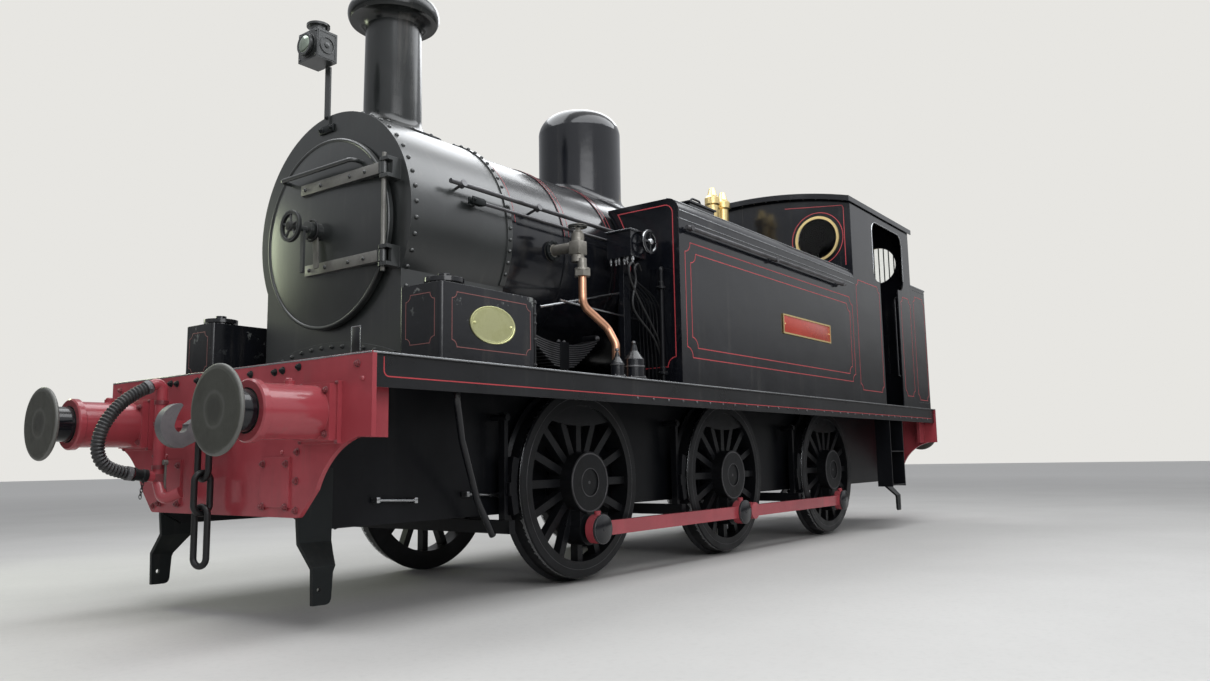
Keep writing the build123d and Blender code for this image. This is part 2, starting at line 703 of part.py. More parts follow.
def door_furniture(rear_x):
    """Handwheel and lever on the spindle in the middle of the door, and the grab rail above."""
    centre = (rear_x, 0, DOOR_AXIS)
    boss_radius, boss_long, spindle_radius, spindle_long = 52, 165, 18, 292
    hub_radius, hub_span, rim_half, spoke_diameter = 30, (255, 290), 11, 15
    lever_ahead, lever_half, lever_thick, lever_long = 180, 16, 16, 270
    rail_stand_off, rail_bend, rail_diameter, rail_root = 90, 35, 28, 20
    wheel = ring(
        centre, "x", HANDWHEEL_INNER, HANDWHEEL_OUTER, HANDWHEEL_AHEAD - rim_half, HANDWHEEL_AHEAD + rim_half
    )
    piece = fused(
        drum(centre, "x", boss_radius, 0, boss_long), drum(centre, "x", spindle_radius, 0, spindle_long),
        drum(centre, "x", hub_radius, *hub_span), wheel,
    )
    wheel_x = rear_x + HANDWHEEL_AHEAD
    reach = (HANDWHEEL_INNER + HANDWHEEL_OUTER) / 2
    for number in range(HANDWHEEL_SPOKES):
        angle = 2 * pi * number / HANDWHEEL_SPOKES + pi / 2
        end = (wheel_x, reach * cos(angle), DOOR_AXIS + reach * sin(angle))
        piece = piece + bar((wheel_x, 0, DOOR_AXIS), end, spoke_diameter)
    lever = slab(
        (rear_x + lever_ahead, rear_x + lever_ahead + lever_thick),
        (-lever_half, lever_half),
        (DOOR_AXIS - lever_long, DOOR_AXIS),
    )
    rail_feet = [(rear_x + rail_root, y, DOOR_RAIL_Z) for y in DOOR_RAIL_ENDS]
    grab_rail = hoop(*rail_feet, (rail_stand_off, 0, 0), rail_bend, rail_diameter)
    return fused(piece, lever), grab_rail


def smokebox_door():
    """Dished door with its two strap hinges, long hinge rod, grab rail and handwheel."""
    rear_x = back(SMOKEBOX_FRONT) + DOOR_GAP
    pin_x = back(SMOKEBOX_FRONT) + HINGE_AHEAD
    rod_span = (rail(1870), rail(2575))
    dish_middle = (DOOR_RADIUS * 0.62, DOOR_DISH * 0.72)
    knuckle_radius, pad_half, pad_inset = 24, 30, 20
    face = outline(
        Polyline((0, DOOR_DISH), (0, 0), (DOOR_RADIUS, 0), (DOOR_RADIUS, DOOR_RIM)),
        ThreePointArc((DOOR_RADIUS, DOOR_RIM), dish_middle, (0, DOOR_DISH)),
    )
    door = turned(face, (rear_x, 0, DOOR_AXIS), "x")
    door = door + bar((pin_x, HINGE_Y, rod_span[0]), (pin_x, HINGE_Y, rod_span[1]), 2 * HINGE_PIN_RADIUS)
    for height, inner_end in zip(STRAP_HEIGHTS, STRAP_INNER_ENDS):
        span = (height - STRAP_HALF, height + STRAP_HALF)
        strap = slab((pin_x - STRAP_BEHIND, pin_x + STRAP_AHEAD), (inner_end, HINGE_Y), span)
        knuckle = drum((pin_x, HINGE_Y, 0), "z", knuckle_radius, *span)
        door = fused(door, strap, knuckle)
        for pad_y in ((inner_end + pad_inset, inner_end + pad_inset + PAD_LONG), OUTER_PAD_Y):
            door = door + slab((rear_x + 1, pin_x), pad_y, (height - pad_half, height + pad_half))
    return fused(door, *door_furniture(rear_x))


def saddled(column, x, column_radius, flange_radius, under_radius, flare):
    """A round column on a saddle that fits the barrel below, flaring from one into the other."""
    above = 200
    axis = (0, 0, BOILER_AXIS)
    saddle = drum((x, 0, 0), "z", flange_radius, BOILER_AXIS, BOILER_AXIS + 2 * under_radius)
    saddle = saddle & drum(axis, "x", under_radius + SADDLE_THICK, x - under_radius, x + under_radius)
    whole = column + saddle
    crest = BOILER_AXIS + under_radius + SADDLE_THICK
    for edge in whole.edges():
        box = edge.bounding_box()
        is_foot = BOILER_AXIS + above < box.min.Z < box.max.Z < crest + 1
        if is_foot and abs(box.max.Y - column_radius) < 1:
            whole = fillet(edge, flare)
            break
    return whole - drum(axis, "x", under_radius, x - under_radius, x + under_radius)


def chimney():
    """A slightly tapering barrel on a saddle, with a rolled cap."""
    top, low = CHIMNEY_TOP, BOILER_AXIS + 100
    waist = BOILER_AXIS + SMOKEBOX_RADIUS + 200
    neck, bead, crown, lip = 186, 290, 306, 228
    neck_top, bead_low, bead_mid, bead_high = top - 235, top - 196, top - 150, top - 92
    saddle_radius, flare = 325, 100
    face = outline(
        Polyline((0, low), (CHIMNEY_RADIUS, low), (CHIMNEY_RADIUS, waist), (neck, neck_top)),
        ThreePointArc((neck, neck_top), (216, top - 206), (bead, bead_low)),
        ThreePointArc((bead, bead_low), (crown, bead_mid), (bead, bead_high)),
        ThreePointArc((bead, bead_high), (236, top - 52), (lip, top)),
        Polyline((lip, top), (0, top), (0, low)),
    )
    x = back(CHIMNEY_BACK)
    body = saddled(turned(face, (x, 0, 0), "z"), x, CHIMNEY_RADIUS, saddle_radius, SMOKEBOX_RADIUS, flare)
    return body - drum((x, 0, 0), "z", FLUE_RADIUS, BOILER_AXIS, 2 * top)


def boiler():
    """Clad barrel with its bands, over a round-topped firebox that goes down between the frames."""
    rear, foot = back(CAB_FRONT) + 1, rail(820)
    body = drum((0, 0, BOILER_AXIS), "x", BOILER_RADIUS, rear, back(SMOKEBOX_BACK))
    body = body + slab((rear, back(FIREBOX_FRONT)), (-FIREBOX_HALF, FIREBOX_HALF), (foot, BOILER_AXIS))
    for distance in BAND_BACK:
        place = (back(distance), 0, BOILER_AXIS)
        body = body + ring(place, "x", BOILER_RADIUS - 3, BOILER_RADIUS + BAND_RISE, -BAND_HALF, BAND_HALF)
    return body


def dome():
    """Tall round-topped cover whose skirt flares onto the barrel."""
    top, low = DOME_TOP, BOILER_AXIS + 100
    spring, haunch, shoulder, brow = top - 190, top - 78, top - 20, top - 6
    flat, brow_radius = 50, 115
    haunch_radius, shoulder_radius = DOME_RADIUS - 52, DOME_RADIUS - 178
    saddle_radius, flare = 440, 70
    face = outline(
        Polyline((flat, top), (0, top), (0, low), (DOME_RADIUS, low), (DOME_RADIUS, spring)),
        ThreePointArc((DOME_RADIUS, spring), (haunch_radius, haunch), (shoulder_radius, shoulder)),
        ThreePointArc((shoulder_radius, shoulder), (brow_radius, brow), (flat, top)),
    )
    x = back(DOME_BACK)
    return saddled(turned(face, (x, 0, 0), "z"), x, DOME_RADIUS, saddle_radius, BOILER_RADIUS, flare)


def safety_valves():
    """Two turned columns on a shared seat."""
    base, top = BOILER_AXIS + BOILER_RADIUS, VALVE_TOP
    front, rear = (back(distance) for distance in VALVE_BACK)
    seat_half, seat_low, seat_high = 110, base - 20, base + 45
    foot, stem, head, neck, tip = 85, 62, 80, 52, 30
    body = slab((rear - seat_half, front + seat_half), (-seat_half, seat_half), (seat_low, seat_high))
    body = body - drum((0, 0, BOILER_AXIS), "x", BOILER_RADIUS, rear - 3 * seat_half, front + 3 * seat_half)
    face = polygon(
        (0, base + 40), (foot, base + 40), (foot, base + 70), (stem, base + 90), (stem, top - 190),
        (head, top - 175), (head, top - 110), (neck, top - 80), (tip, top), (0, top),
    )
    for x in (front, rear):
        body = body + turned(face, (x, 0, 0), "z")
    return body


# Tanks, sandboxes and their lids
FILLER_BACK = 3350
FILLER_Y = 955
FILLER_HALF_X = 190
FILLER_HALF_Y = 150
FILLER_WALL = 12
FILLER_DEEP = 160
FILLER_RISE = 60
LID_HINGE_Y = 775
LID_PIN_RADIUS = 9
LID_PIN_Z = TANK_TOP + FILLER_RISE + 10
EAR_LONG = 40
EAR_INSETS = (30, 70)


def side_tank():
    """The left tank, hollowed to clear the boiler, with its rounded outer top edge."""
    bend = TANK_EDGE_RADIUS
    half_bend = bend * (1 - cos(radians(45)))
    bend_low, bend_high = (TANK_OUTER, TANK_TOP - bend), (TANK_OUTER - bend, TANK_TOP)
    step_y, step_z = 600, BOILER_AXIS - 200
    face = outline(
        ThreePointArc(bend_low, (TANK_OUTER - half_bend, TANK_TOP - half_bend), bend_high),
        Polyline(
            bend_high, (step_y, TANK_TOP), (step_y, BOILER_AXIS), (TANK_INNER, step_z),
            (TANK_INNER, FOOTPLATE_TOP), (TANK_OUTER, FOOTPLATE_TOP), bend_low,
        ),
    )
    x_from, x_to = back(CAB_FRONT) + 1, back(TANK_FRONT)
    tank = from_front(face, x_from, x_to)
    tank = tank - drum((0, 0, BOILER_AXIS), "x", BOILER_RADIUS + TANK_CLEARANCE, x_from - 1, x_to + 1)
    x = back(FILLER_BACK)
    neck = slab(
        (x - FILLER_HALF_X, x + FILLER_HALF_X),
        (FILLER_Y - FILLER_HALF_Y, FILLER_Y + FILLER_HALF_Y),
        (TANK_TOP, TANK_TOP + FILLER_RISE),
    )
    well = slab(
        (x - FILLER_HALF_X + FILLER_WALL, x + FILLER_HALF_X - FILLER_WALL),
        (FILLER_Y - FILLER_HALF_Y + FILLER_WALL, FILLER_Y + FILLER_HALF_Y - FILLER_WALL),
        (TANK_TOP - FILLER_DEEP, LID_PIN_Z),
    )
    tank = tank + neck - well
    ear_y = (LID_HINGE_Y - 2 * LID_PIN_RADIUS, FILLER_Y - FILLER_HALF_Y)
    for start in (x - FILLER_HALF_X + EAR_INSETS[0], x + FILLER_HALF_X - EAR_INSETS[1]):
        tank = tank + slab((start, start + EAR_LONG), ear_y, (TANK_TOP, LID_PIN_Z + 2 * LID_PIN_RADIUS - 2))
    pin_hole = drum((x, LID_HINGE_Y, LID_PIN_Z), "x", LID_PIN_RADIUS + 0.5, -FILLER_HALF_X, FILLER_HALF_X)
    return tank - pin_hole


def tank_lid():
    """A flat lid with a bent handle, hinged on its inner edge."""
    x = back(FILLER_BACK)
    low = TANK_TOP + FILLER_RISE + 1
    overhang, thick, inner_gap = 14, 14, 6
    strap_half, strap_long, pin_inset = 60, 60, 35
    handle_half, handle_y, handle_rise, handle_bend, handle_diameter = 70, FILLER_Y + 90, 65, 25, 18
    plate = slab(
        (x - FILLER_HALF_X - overhang, x + FILLER_HALF_X + overhang),
        (FILLER_Y - FILLER_HALF_Y + inner_gap, FILLER_Y + FILLER_HALF_Y + overhang),
        (low, low + thick),
    )
    pin = drum(
        (x, LID_HINGE_Y, LID_PIN_Z), "x", LID_PIN_RADIUS, pin_inset - FILLER_HALF_X, FILLER_HALF_X - pin_inset
    )
    strap_y = (LID_HINGE_Y, LID_HINGE_Y + strap_long)
    strap = slab((x - strap_half, x + strap_half), strap_y, (low + 2, low + 2 + thick))
    handle = hoop(
        (x - handle_half, handle_y, low + 5), (x + handle_half, handle_y, low + 5),
        (0, 0, handle_rise), handle_bend, handle_diameter,
    )
    return fused(plate, pin, strap, handle)


SANDBOX_BACK = (450, 1180)
SANDBOX_INNER = 912
SANDBOX_TOP = rail(1710)
SAND_CAP_BACK = 610
SAND_CAP_Y = 1085


def sandbox():
    """The left sandbox with its round filler cap and the delivery pipe below it."""
    corner, pipe_diameter = 22, 42
    neck_radius, cap_radius, knob_radius = 88, 108, 34
    neck_top, cap_top, knob_top = rail(1733), rail(1758), rail(1785)
    front, rear = (back(distance) for distance in SANDBOX_BACK)
    box = slab((rear, front), (SANDBOX_INNER, SIDE_PLANE), (FOOTPLATE_TOP, SANDBOX_TOP))
    box = fillet(box.edges().filter_by(Axis.Z), corner)
    place = (back(SAND_CAP_BACK), SAND_CAP_Y, 0)
    neck = drum(place, "z", neck_radius, SANDBOX_TOP - 1, neck_top)
    cap = drum(place, "z", cap_radius, neck_top, cap_top)
    knob = drum(place, "z", knob_radius, cap_top, knob_top)
    pipe = bent_pipe(
        (
            (back(790), 1000, FOOTPLATE_UNDER), (back(790), 1000, rail(1120)), (back(930), 900, rail(900)),
            (back(1180), 770, rail(560)), (back(1335), 750, rail(335)),
        ),
        [80, 120, 120],
        pipe_diameter,
    )
    return [fused(box, neck, cap, knob), pipe]


# Cab and bunker
ROOF_OUTER = (HALF_WIDTH ** 2 + (CROWN - EAVE) ** 2) / (2 * (CROWN - EAVE))
ROOF_INNER = ROOF_OUTER - CAB_WALL
ROOF_CENTRE = CROWN - ROOF_OUTER
CUTOUT_BACK = (6750, 7700)
CUTOUT_SPAN = (rail(2640), rail(3300))
GUARD_BARS = 7
GUARD_PITCH = 60


def roof_height(radius, y):
    """Height of the roof's curve of that radius at one place across the engine."""
    return ROOF_CENTRE + sqrt(radius ** 2 - y ** 2)


def cab_end_face():
    """The outline of a cab end sheet under the curved roof."""
    half, edge = SIDE_PLANE, roof_height(ROOF_INNER, SIDE_PLANE)
    return outline(
        ThreePointArc((half, edge), (0, ROOF_CENTRE + ROOF_INNER), (-half, edge)),
        Polyline((-half, edge), (-half, FOOTPLATE_TOP), (half, FOOTPLATE_TOP), (half, edge)),
    )


def with_windows(sheet, x):
    """An end sheet with its two round windows cut out."""
    for side in (-1, 1):
        sheet = sheet - drum((x, side * WINDOW_Y, WINDOW_Z), "x", WINDOW_RADIUS, -2 * CAB_WALL, 2 * CAB_WALL)
    return sheet


def cab_front():
    """Front sheet with its two round windows, cut round the boiler."""
    x_from, x_to = back(CAB_FRONT) - CAB_WALL, back(CAB_FRONT)
    through = (x_from - CAB_WALL, x_to + CAB_WALL)
    backhead_lap = 40
    sheet = from_front(cab_end_face(), x_from, x_to)
    sheet = sheet - drum((0, 0, BOILER_AXIS), "x", BOILER_RADIUS - backhead_lap, *through)
    sheet = sheet - slab(through, (-FIREBOX_HALF, FIREBOX_HALF), (0, BOILER_AXIS))
    return with_windows(sheet, x_to)


def cab_back():
    """Back sheet with its coal opening and two round windows behind guard bars."""
    x_from, x_to = back(CAB_BACK), back(CAB_BACK) + CAB_WALL
    coal_half, coal_span = 260, (FOOTPLATE_TOP + 30, rail(1950))
    bar_x, bar_reach, bar_diameter = x_from - 35, WINDOW_RADIUS + 60, 14
    holder_x, holder_half, holder_thick = x_from - 45, 200, 20
    sheet = with_windows(from_front(cab_end_face(), x_from, x_to), x_to)
    sheet = sheet - slab((x_from - CAB_WALL, x_to + CAB_WALL), (-coal_half, coal_half), coal_span)
    for centre in (-WINDOW_Y, WINDOW_Y):
        for number in range(GUARD_BARS):
            y = centre + (number - GUARD_BARS // 2) * GUARD_PITCH
            ends = [(bar_x, y, WINDOW_Z + reach) for reach in (-bar_reach, bar_reach)]
            sheet = sheet + bar(*ends, bar_diameter)
        for low in (WINDOW_Z - WINDOW_RADIUS - 50, WINDOW_Z + WINDOW_RADIUS + 30):
            span = (low, low + holder_thick)
            sheet = sheet + slab((holder_x, x_from), (centre - holder_half, centre + holder_half), span)
    return sheet


def cab_side():
    """Left side sheet with the cut-out above and the doorway below, between two grab rails."""
    x_from, x_to = back(CAB_BACK) + CAB_WALL, back(CAB_FRONT) - CAB_WALL
    through = (SIDE_PLANE - 2 * CAB_WALL, SIDE_PLANE + CAB_WALL)
    top = roof_height(ROOF_INNER, SIDE_PLANE) - 2
    corner, rail_margin, rail_span = 120, 40, (rail(1650), rail(2550))
    rail_stand_off, rail_bend, rail_diameter, rail_root = 52, 20, 26, 4
    sheet = slab((x_from, x_to), (SIDE_PLANE - CAB_WALL, SIDE_PLANE), (FOOTPLATE_TOP, top))
    upper = slab([back(distance) for distance in CUTOUT_BACK], through, CUTOUT_SPAN)
    upper = fillet(upper.edges().filter_by(Axis.Y), corner)
    lower = slab(
        [back(distance) for distance in DOORWAY_BACK], through, (FOOTPLATE_TOP, CUTOUT_SPAN[0] + 1.5 * corner)
    )
    sheet = sheet - upper - lower
    for distance in (DOORWAY_BACK[0] - rail_margin, DOORWAY_BACK[1] + rail_margin):
        ends = [(back(distance), SIDE_PLANE - rail_root, z) for z in rail_span]
        sheet = sheet + hoop(*ends, (0, -rail_stand_off, 0), rail_bend, rail_diameter)
    return sheet


def cab_roof():
    """Curved roof plate with an eave strip along each side, a front rim and a ventilator."""
    x_from, x_to = back(CAB_BACK) - ROOF_OVERHANG, back(CAB_FRONT) + ROOF_OVERHANG
    strip_thick, strip_deep, rim_long, rim_deep = 10, 40, 12, 45
    vent_back, vent_half, vent_rise, vent_sink = (6600, 7500), 330, 45, 30
    outer_edge, inner_edge = roof_height(ROOF_OUTER, HALF_WIDTH), roof_height(ROOF_INNER, HALF_WIDTH)
    arch = ThreePointArc((HALF_WIDTH, outer_edge), (0, CROWN), (-HALF_WIDTH, outer_edge))
    under = ThreePointArc((-HALF_WIDTH, inner_edge), (0, CROWN - CAB_WALL), (HALF_WIDTH, inner_edge))
    left_end = Line((-HALF_WIDTH, outer_edge), (-HALF_WIDTH, inner_edge))
    right_end = Line((HALF_WIDTH, inner_edge), (HALF_WIDTH, outer_edge))
    roof = from_front(outline(arch, left_end, under, right_end), x_from, x_to)
    rim_ends = [(y, inner_edge - rim_deep) for y in (-HALF_WIDTH, HALF_WIDTH)]
    rim = outline(
        arch,
        Line((-HALF_WIDTH, outer_edge), rim_ends[0]),
        ThreePointArc(rim_ends[0], (0, CROWN - CAB_WALL - rim_deep), rim_ends[1]),
        Line(rim_ends[1], (HALF_WIDTH, outer_edge)),
    )
    roof = roof + from_front(rim, x_to - rim_long, x_to)
    for side in (-1, 1):
        strip_y = (side * (HALF_WIDTH - strip_thick), side * HALF_WIDTH)
        roof = roof + slab((x_from, x_to), strip_y, (inner_edge - strip_deep, inner_edge + 2))
    ventilator_x = sorted(back(distance) for distance in vent_back)
    return roof + slab(ventilator_x, (-vent_half, vent_half), (CROWN - vent_sink, CROWN + vent_rise))


RIM_WIDE = 28
RIM_RISE = 16


def window_rims():
    """Rims of the four round windows."""
    rims = []
    for x, sign in ((back(CAB_FRONT), 1), (back(CAB_BACK), -1)):
        for y in (-WINDOW_Y, WINDOW_Y):
            span = sorted((0, sign * RIM_RISE))
            rims.append(ring((x, y, WINDOW_Z), "x", WINDOW_RADIUS + 0.5, WINDOW_RADIUS + RIM_WIDE, *span))
    return rims


def window_glass():
    """Glass discs in the middle of the sheets."""
    half = 3
    panes = []
    for x in (back(CAB_FRONT) - CAB_WALL / 2, back(CAB_BACK) + CAB_WALL / 2):
        for y in (-WINDOW_Y, WINDOW_Y):
            panes.append(drum((x, y, WINDOW_Z), "x", WINDOW_RADIUS - 0.5, -half, half))
    return panes


def bunker():
    """Open coal bunker with rounded back corners."""
    x_from, x_to = back(BUNKER_BACK), back(CAB_BACK) - 1
    corner = 60
    outer = slab((x_from, x_to), (-SIDE_PLANE, SIDE_PLANE), (FOOTPLATE_TOP, BUNKER_TOP))
    outer = fillet(outer.edges().filter_by(Axis.Z).group_by(Axis.X)[0], corner)
    inner = slab(
        (x_from + CAB_WALL, x_to + corner),
        (CAB_WALL - SIDE_PLANE, SIDE_PLANE - CAB_WALL),
        (FOOTPLATE_TOP + CAB_WALL, BUNKER_TOP + corner),
    )
    return outer - inner


BACKHEAD_THICK = 120
FIRE_DOOR_Z = rail(1780)
REGULATOR_Z = rail(2560)
GAUGE_SPAN = (rail(2200), rail(2530))
DIAL_PLACE = (420, rail(2700))


def backhead():
    """The boiler's flat end in the cab, with fire door, regulator, water gauges and dial."""
    x_to = back(CAB_FRONT) - CAB_WALL - 1
    x_from = x_to - BACKHEAD_THICK
    edge_inset = 60
    fire_ring_radius, fire_ring_long, fire_door_half, fire_door_rise, fire_door_thick = 200, 40, 180, 160, 22
    boss_radius, boss_long, arm_y, arm_x, arm_half = 75, 90, (-300, 40), (85, 110), 20
    gauge_y, gauge_ahead, gauge_diameter, cock_half, cock_reach, cock_high = 330, 60, 26, 20, 75, 30
    dial_radius, dial_ahead, bracket_inner, bracket_thick = 80, 60, 300, 20
    head = drum((0, 0, BOILER_AXIS), "x", BOILER_RADIUS - edge_inset, x_from, x_to)
    head = head + slab((x_from, x_to), (-FIREBOX_HALF, FIREBOX_HALF), (FOOTPLATE_TOP + 1, BOILER_AXIS))
    door_x = x_from - fire_ring_long
    head = fused(
        head,
        drum((x_from, 0, FIRE_DOOR_Z), "x", fire_ring_radius, -fire_ring_long, 0),
        slab(
            (door_x - fire_door_thick, door_x), (-fire_door_half, fire_door_half),
            (FIRE_DOOR_Z - fire_door_rise, FIRE_DOOR_Z + fire_door_rise),
        ),
        drum((x_from, 0, REGULATOR_Z), "x", boss_radius, -boss_long, 0),
        slab((x_from - arm_x[1], x_from - arm_x[0]), arm_y, (REGULATOR_Z - arm_half, REGULATOR_Z + arm_half)),
    )
    cock_x = (x_from - cock_reach, x_from)
    for y in (-gauge_y, gauge_y):
        head = head + bar(*((x_from - gauge_ahead, y, z) for z in GAUGE_SPAN), gauge_diameter)
        for low in (GAUGE_SPAN[0], GAUGE_SPAN[1] - cock_high):
            head = head + slab(cock_x, (y - cock_half, y + cock_half), (low, low + cock_high))
    dial_y, dial_z = DIAL_PLACE
    bracket = slab((x_from - bracket_thick, x_from), (bracket_inner, dial_y), (REGULATOR_Z, dial_z))
    return head + bracket + drum((x_from, dial_y, dial_z), "x", dial_radius, -dial_ahead, 0)


def cab_controls():
    """Reversing lever in its quadrant, and the hand-brake column."""
    base = FOOTPLATE_TOP
    quadrant_back, quadrant_y, quadrant_top, quadrant_bar = (6480, 6980), (-760, -735), rail(1720), 80
    lever_y, lever_foot_back, lever_top_back, lever_top, lever_diameter = -720, 6730, 6640, rail(2230), 34
    column_place, column_top, column_diameter = (back(7700), 700), rail(2200), 60
    foot_radius, foot_high, cap_radius, cap_high, handle_half, handle_diameter = 90, 30, 36, 60, 180, 28
    quadrant = slab([back(distance) for distance in quadrant_back], quadrant_y, (base, quadrant_top))
    gap = slab(
        (back(quadrant_back[0] + quadrant_bar), back(quadrant_back[1] - quadrant_bar)),
        (2 * quadrant_y[0], 0),
        (base + 1.5 * quadrant_bar, quadrant_top - quadrant_bar),
    )
    lever_ends = (back(lever_foot_back), lever_y, base + 60), (back(lever_top_back), lever_y, lever_top)
    lever = bar(*lever_ends, lever_diameter)
    lever_foot = slab((back(6760), back(6700)), (quadrant_y[0], lever_y + 15), (base, base + 90))
    x, y = column_place
    column = fused(
        bar((x, y, base), (x, y, column_top), column_diameter),
        drum((x, y, 0), "z", foot_radius, base, base + foot_high),
        drum((x, y, 0), "z", cap_radius, column_top, column_top + cap_high),
        bar((x, y - handle_half, column_top + 30), (x, y + handle_half, column_top + 30), handle_diameter),
    )
    return [fused(quadrant - gap, lever_foot, lever), column]


# Springs and brake gear
LEAVES = 11
LEAF_THICK = 15
LEAF_CAMBER = 1150
TOP_LEAF_HALF = 410
LEAF_STEP = 30
SPRING_Y = (545, 668)
FRONT_PACK_TOP = rail(1580)
UNDER_PACK_TOP = rail(338)
BUCKLE_HALF = 48
EYE_RADIUS = 26


def leaf(x, pack_top, number):
    """One curved leaf of a spring: the longest is on top, and its ends turn up."""
    half = TOP_LEAF_HALF - number * LEAF_STEP
    inner = LEAF_CAMBER + number * LEAF_THICK
    outer = inner + LEAF_THICK
    angle = asin(half / outer)
    low_left, low_right = ((side * outer * sin(angle), -outer * cos(angle)) for side in (-1, 1))
    top_left, top_right = ((side * inner * sin(angle), -inner * cos(angle)) for side in (-1, 1))
    face = outline(
        ThreePointArc(low_left, (0, -outer), low_right),
        Line(low_right, top_right),
        ThreePointArc(top_right, (0, -inner), top_left),
        Line(top_left, low_left),
    )
    return Pos(x, 0, pack_top + LEAF_CAMBER) * from_side(face, *SPRING_Y)


def leaf_spring(x, pack_top, foot):
    """A stack of leaves in its buckle, with an eye at each end and a post to what carries it."""
    pack_low = pack_top - LEAVES * LEAF_THICK
    buckle_margin, buckle_lap, post_half = 5, 14, 30
    buckle = slab(
        (x - BUCKLE_HALF, x + BUCKLE_HALF),
        (SPRING_Y[0] - buckle_margin, SPRING_Y[1] + buckle_margin),
        (pack_low - buckle_lap, pack_top + buckle_lap),
    )
    spring = fused(buckle, *(leaf(x, pack_top, number) for number in range(LEAVES)))
    rise = LEAF_CAMBER - sqrt(LEAF_CAMBER ** 2 - TOP_LEAF_HALF ** 2)
    for end in (-1, 1):
        eye_place = (x + end * (TOP_LEAF_HALF - EYE_RADIUS), 0, pack_top + rise)
        spring = spring + drum(eye_place, "y", EYE_RADIUS, *SPRING_Y)
    post_span = (foot, pack_low) if foot < pack_low else (pack_top, foot)
    return spring + slab((x - post_half, x + post_half), (FRAME_INNER, FRAME_OUTER - 8), post_span)


def springs():
    """Leaf springs over the frames at the first axle, and under the axleboxes at the other two."""
    places = (
        ("front", FRONT_PACK_TOP, FOOTPLATE_TOP), ("middle", UNDER_PACK_TOP, AXLEBOX_SPAN[0] - 1),
        ("rear", UNDER_PACK_TOP, AXLEBOX_SPAN[0] - 1),
    )
    whole = []
    for name, pack_top, foot in places:
        spring = leaf_spring(back(AXLE_BACK[name]), pack_top, foot)
        whole += [spring, mirrored(spring)]
    return whole


SHOE_SPREAD = 15
SHOE_GAP = 9
SHOE_THICK = 53
SHOE_Y = (WHEEL_INNER + 42, WHEEL_OUTER - 22)
HANGER_Y = (720, 770)
HANGER_TOP = rail(1080)
HANGER_PIN_Z = rail(1050)
BRAKE_BEAM_SPAN = (rail(340), rail(420))


def shoe_face():
    """A brake block that follows the tread, drawn round the wheel's centre."""
    inner, outer = TREAD_RADIUS + SHOE_GAP, TREAD_RADIUS + SHOE_GAP + SHOE_THICK
    low, high = radians(-SHOE_SPREAD), radians(SHOE_SPREAD)
    corner = {
        (radius, angle): (radius * cos(angle), radius * sin(angle))
        for radius in (inner, outer) for angle in (low, high)
    }
    return outline(
        ThreePointArc(corner[inner, low], (inner, 0), corner[inner, high]),
        Line(corner[inner, high], corner[outer, high]),
        ThreePointArc(corner[outer, high], (outer, 0), corner[outer, low]),
        Line(corner[outer, low], corner[inner, low]),
    )


def brake_gear():
    """Blocks on hangers ahead of each wheel, with a cross beam between them."""
    beam_half, beam_x, hanger_half, pin_end, pin_diameter = 820, (-22, 30), 16, 785, 44
    link_back, link_span = 40, (AXLE_HEIGHT - 60, AXLE_HEIGHT + 20)
    pieces = []
    for distance in AXLE_BACK.values():
        x = back(distance)
        hanger_x = x + TREAD_RADIUS + SHOE_GAP + SHOE_THICK + 14
        whole = slab((hanger_x + beam_x[0], hanger_x + beam_x[1]), (-beam_half, beam_half), BRAKE_BEAM_SPAN)
        for side in (-1, 1):
            hanger_y = [side * y for y in HANGER_Y]
            hanger_x_span = (hanger_x - hanger_half, hanger_x + hanger_half)
            shoe = Pos(x, 0, AXLE_HEIGHT) * from_side(shoe_face(), *sorted(side * y for y in SHOE_Y))
            hanger = slab(hanger_x_span, hanger_y, (BRAKE_BEAM_SPAN[0], HANGER_TOP))
            link = slab((hanger_x - link_back, hanger_x), [side * y for y in SHOE_Y], link_span)
            pin = bar(*((hanger_x, side * y, HANGER_PIN_Z) for y in (FRAME_OUTER, pin_end)), pin_diameter)
            whole = fused(whole, shoe, hanger, link, pin)
        pieces.append(whole)
    return pieces


# Wheels and rods
def tyre_face():
    """Rim and tyre in section, with the flange on the inside and a coned tread."""
    tread, flange = TREAD_RADIUS, TREAD_RADIUS + FLANGE_DEPTH
    return polygon(
        (RIM_INNER_RADIUS, WHEEL_INNER), (flange - 6, WHEEL_INNER), (flange, WHEEL_INNER + 10),
        (flange, WHEEL_INNER + 18), (tread + 2, WHEEL_INNER + 34), (tread, WHEEL_OUTER - 10),
        (tread - 8, WHEEL_OUTER), (RIM_INNER_RADIUS, WHEEL_OUTER),
    )


def crank(centre, pin_angle):
    """Crank boss with its web, pin and collar, and the balance weight across from it."""
    weight_half, weight_low, weight_top, weight_waist = 320, 415, 524, 380
    web_half, web_lap, pin_root, collar_thick = 96, 60, HUB_FACE - 30, 19
    pin_place = (0, 0, -CRANK_THROW)
    weight = from_side(
        outline(
            ThreePointArc((-weight_half, weight_low), (0, weight_top), (weight_half, weight_low)),
            ThreePointArc((weight_half, weight_low), (0, weight_waist), (-weight_half, weight_low)),
        ),
        WHEEL_INNER + 30,
        WHEEL_OUTER - 20,
    )
    boss = drum(pin_place, "y", CRANK_BOSS_RADIUS, WHEEL_INNER + 40, HUB_FACE - 8)
    web = slab((-web_half, web_half), (WHEEL_INNER + 40, HUB_FACE - 14), (-CRANK_THROW, web_lap - HUB_RADIUS))
    pin = drum(pin_place, "y", PIN_RADIUS, pin_root, ROD_OUTER + 4)
    collar = drum(pin_place, "y", COLLAR_RADIUS, ROD_OUTER + 3, ROD_OUTER + 3 + collar_thick)
    turn = Pos(*centre) * Rot(0, -(pin_angle + 90), 0)
    return [turn * piece for piece in (weight, boss, web, pin, collar)]


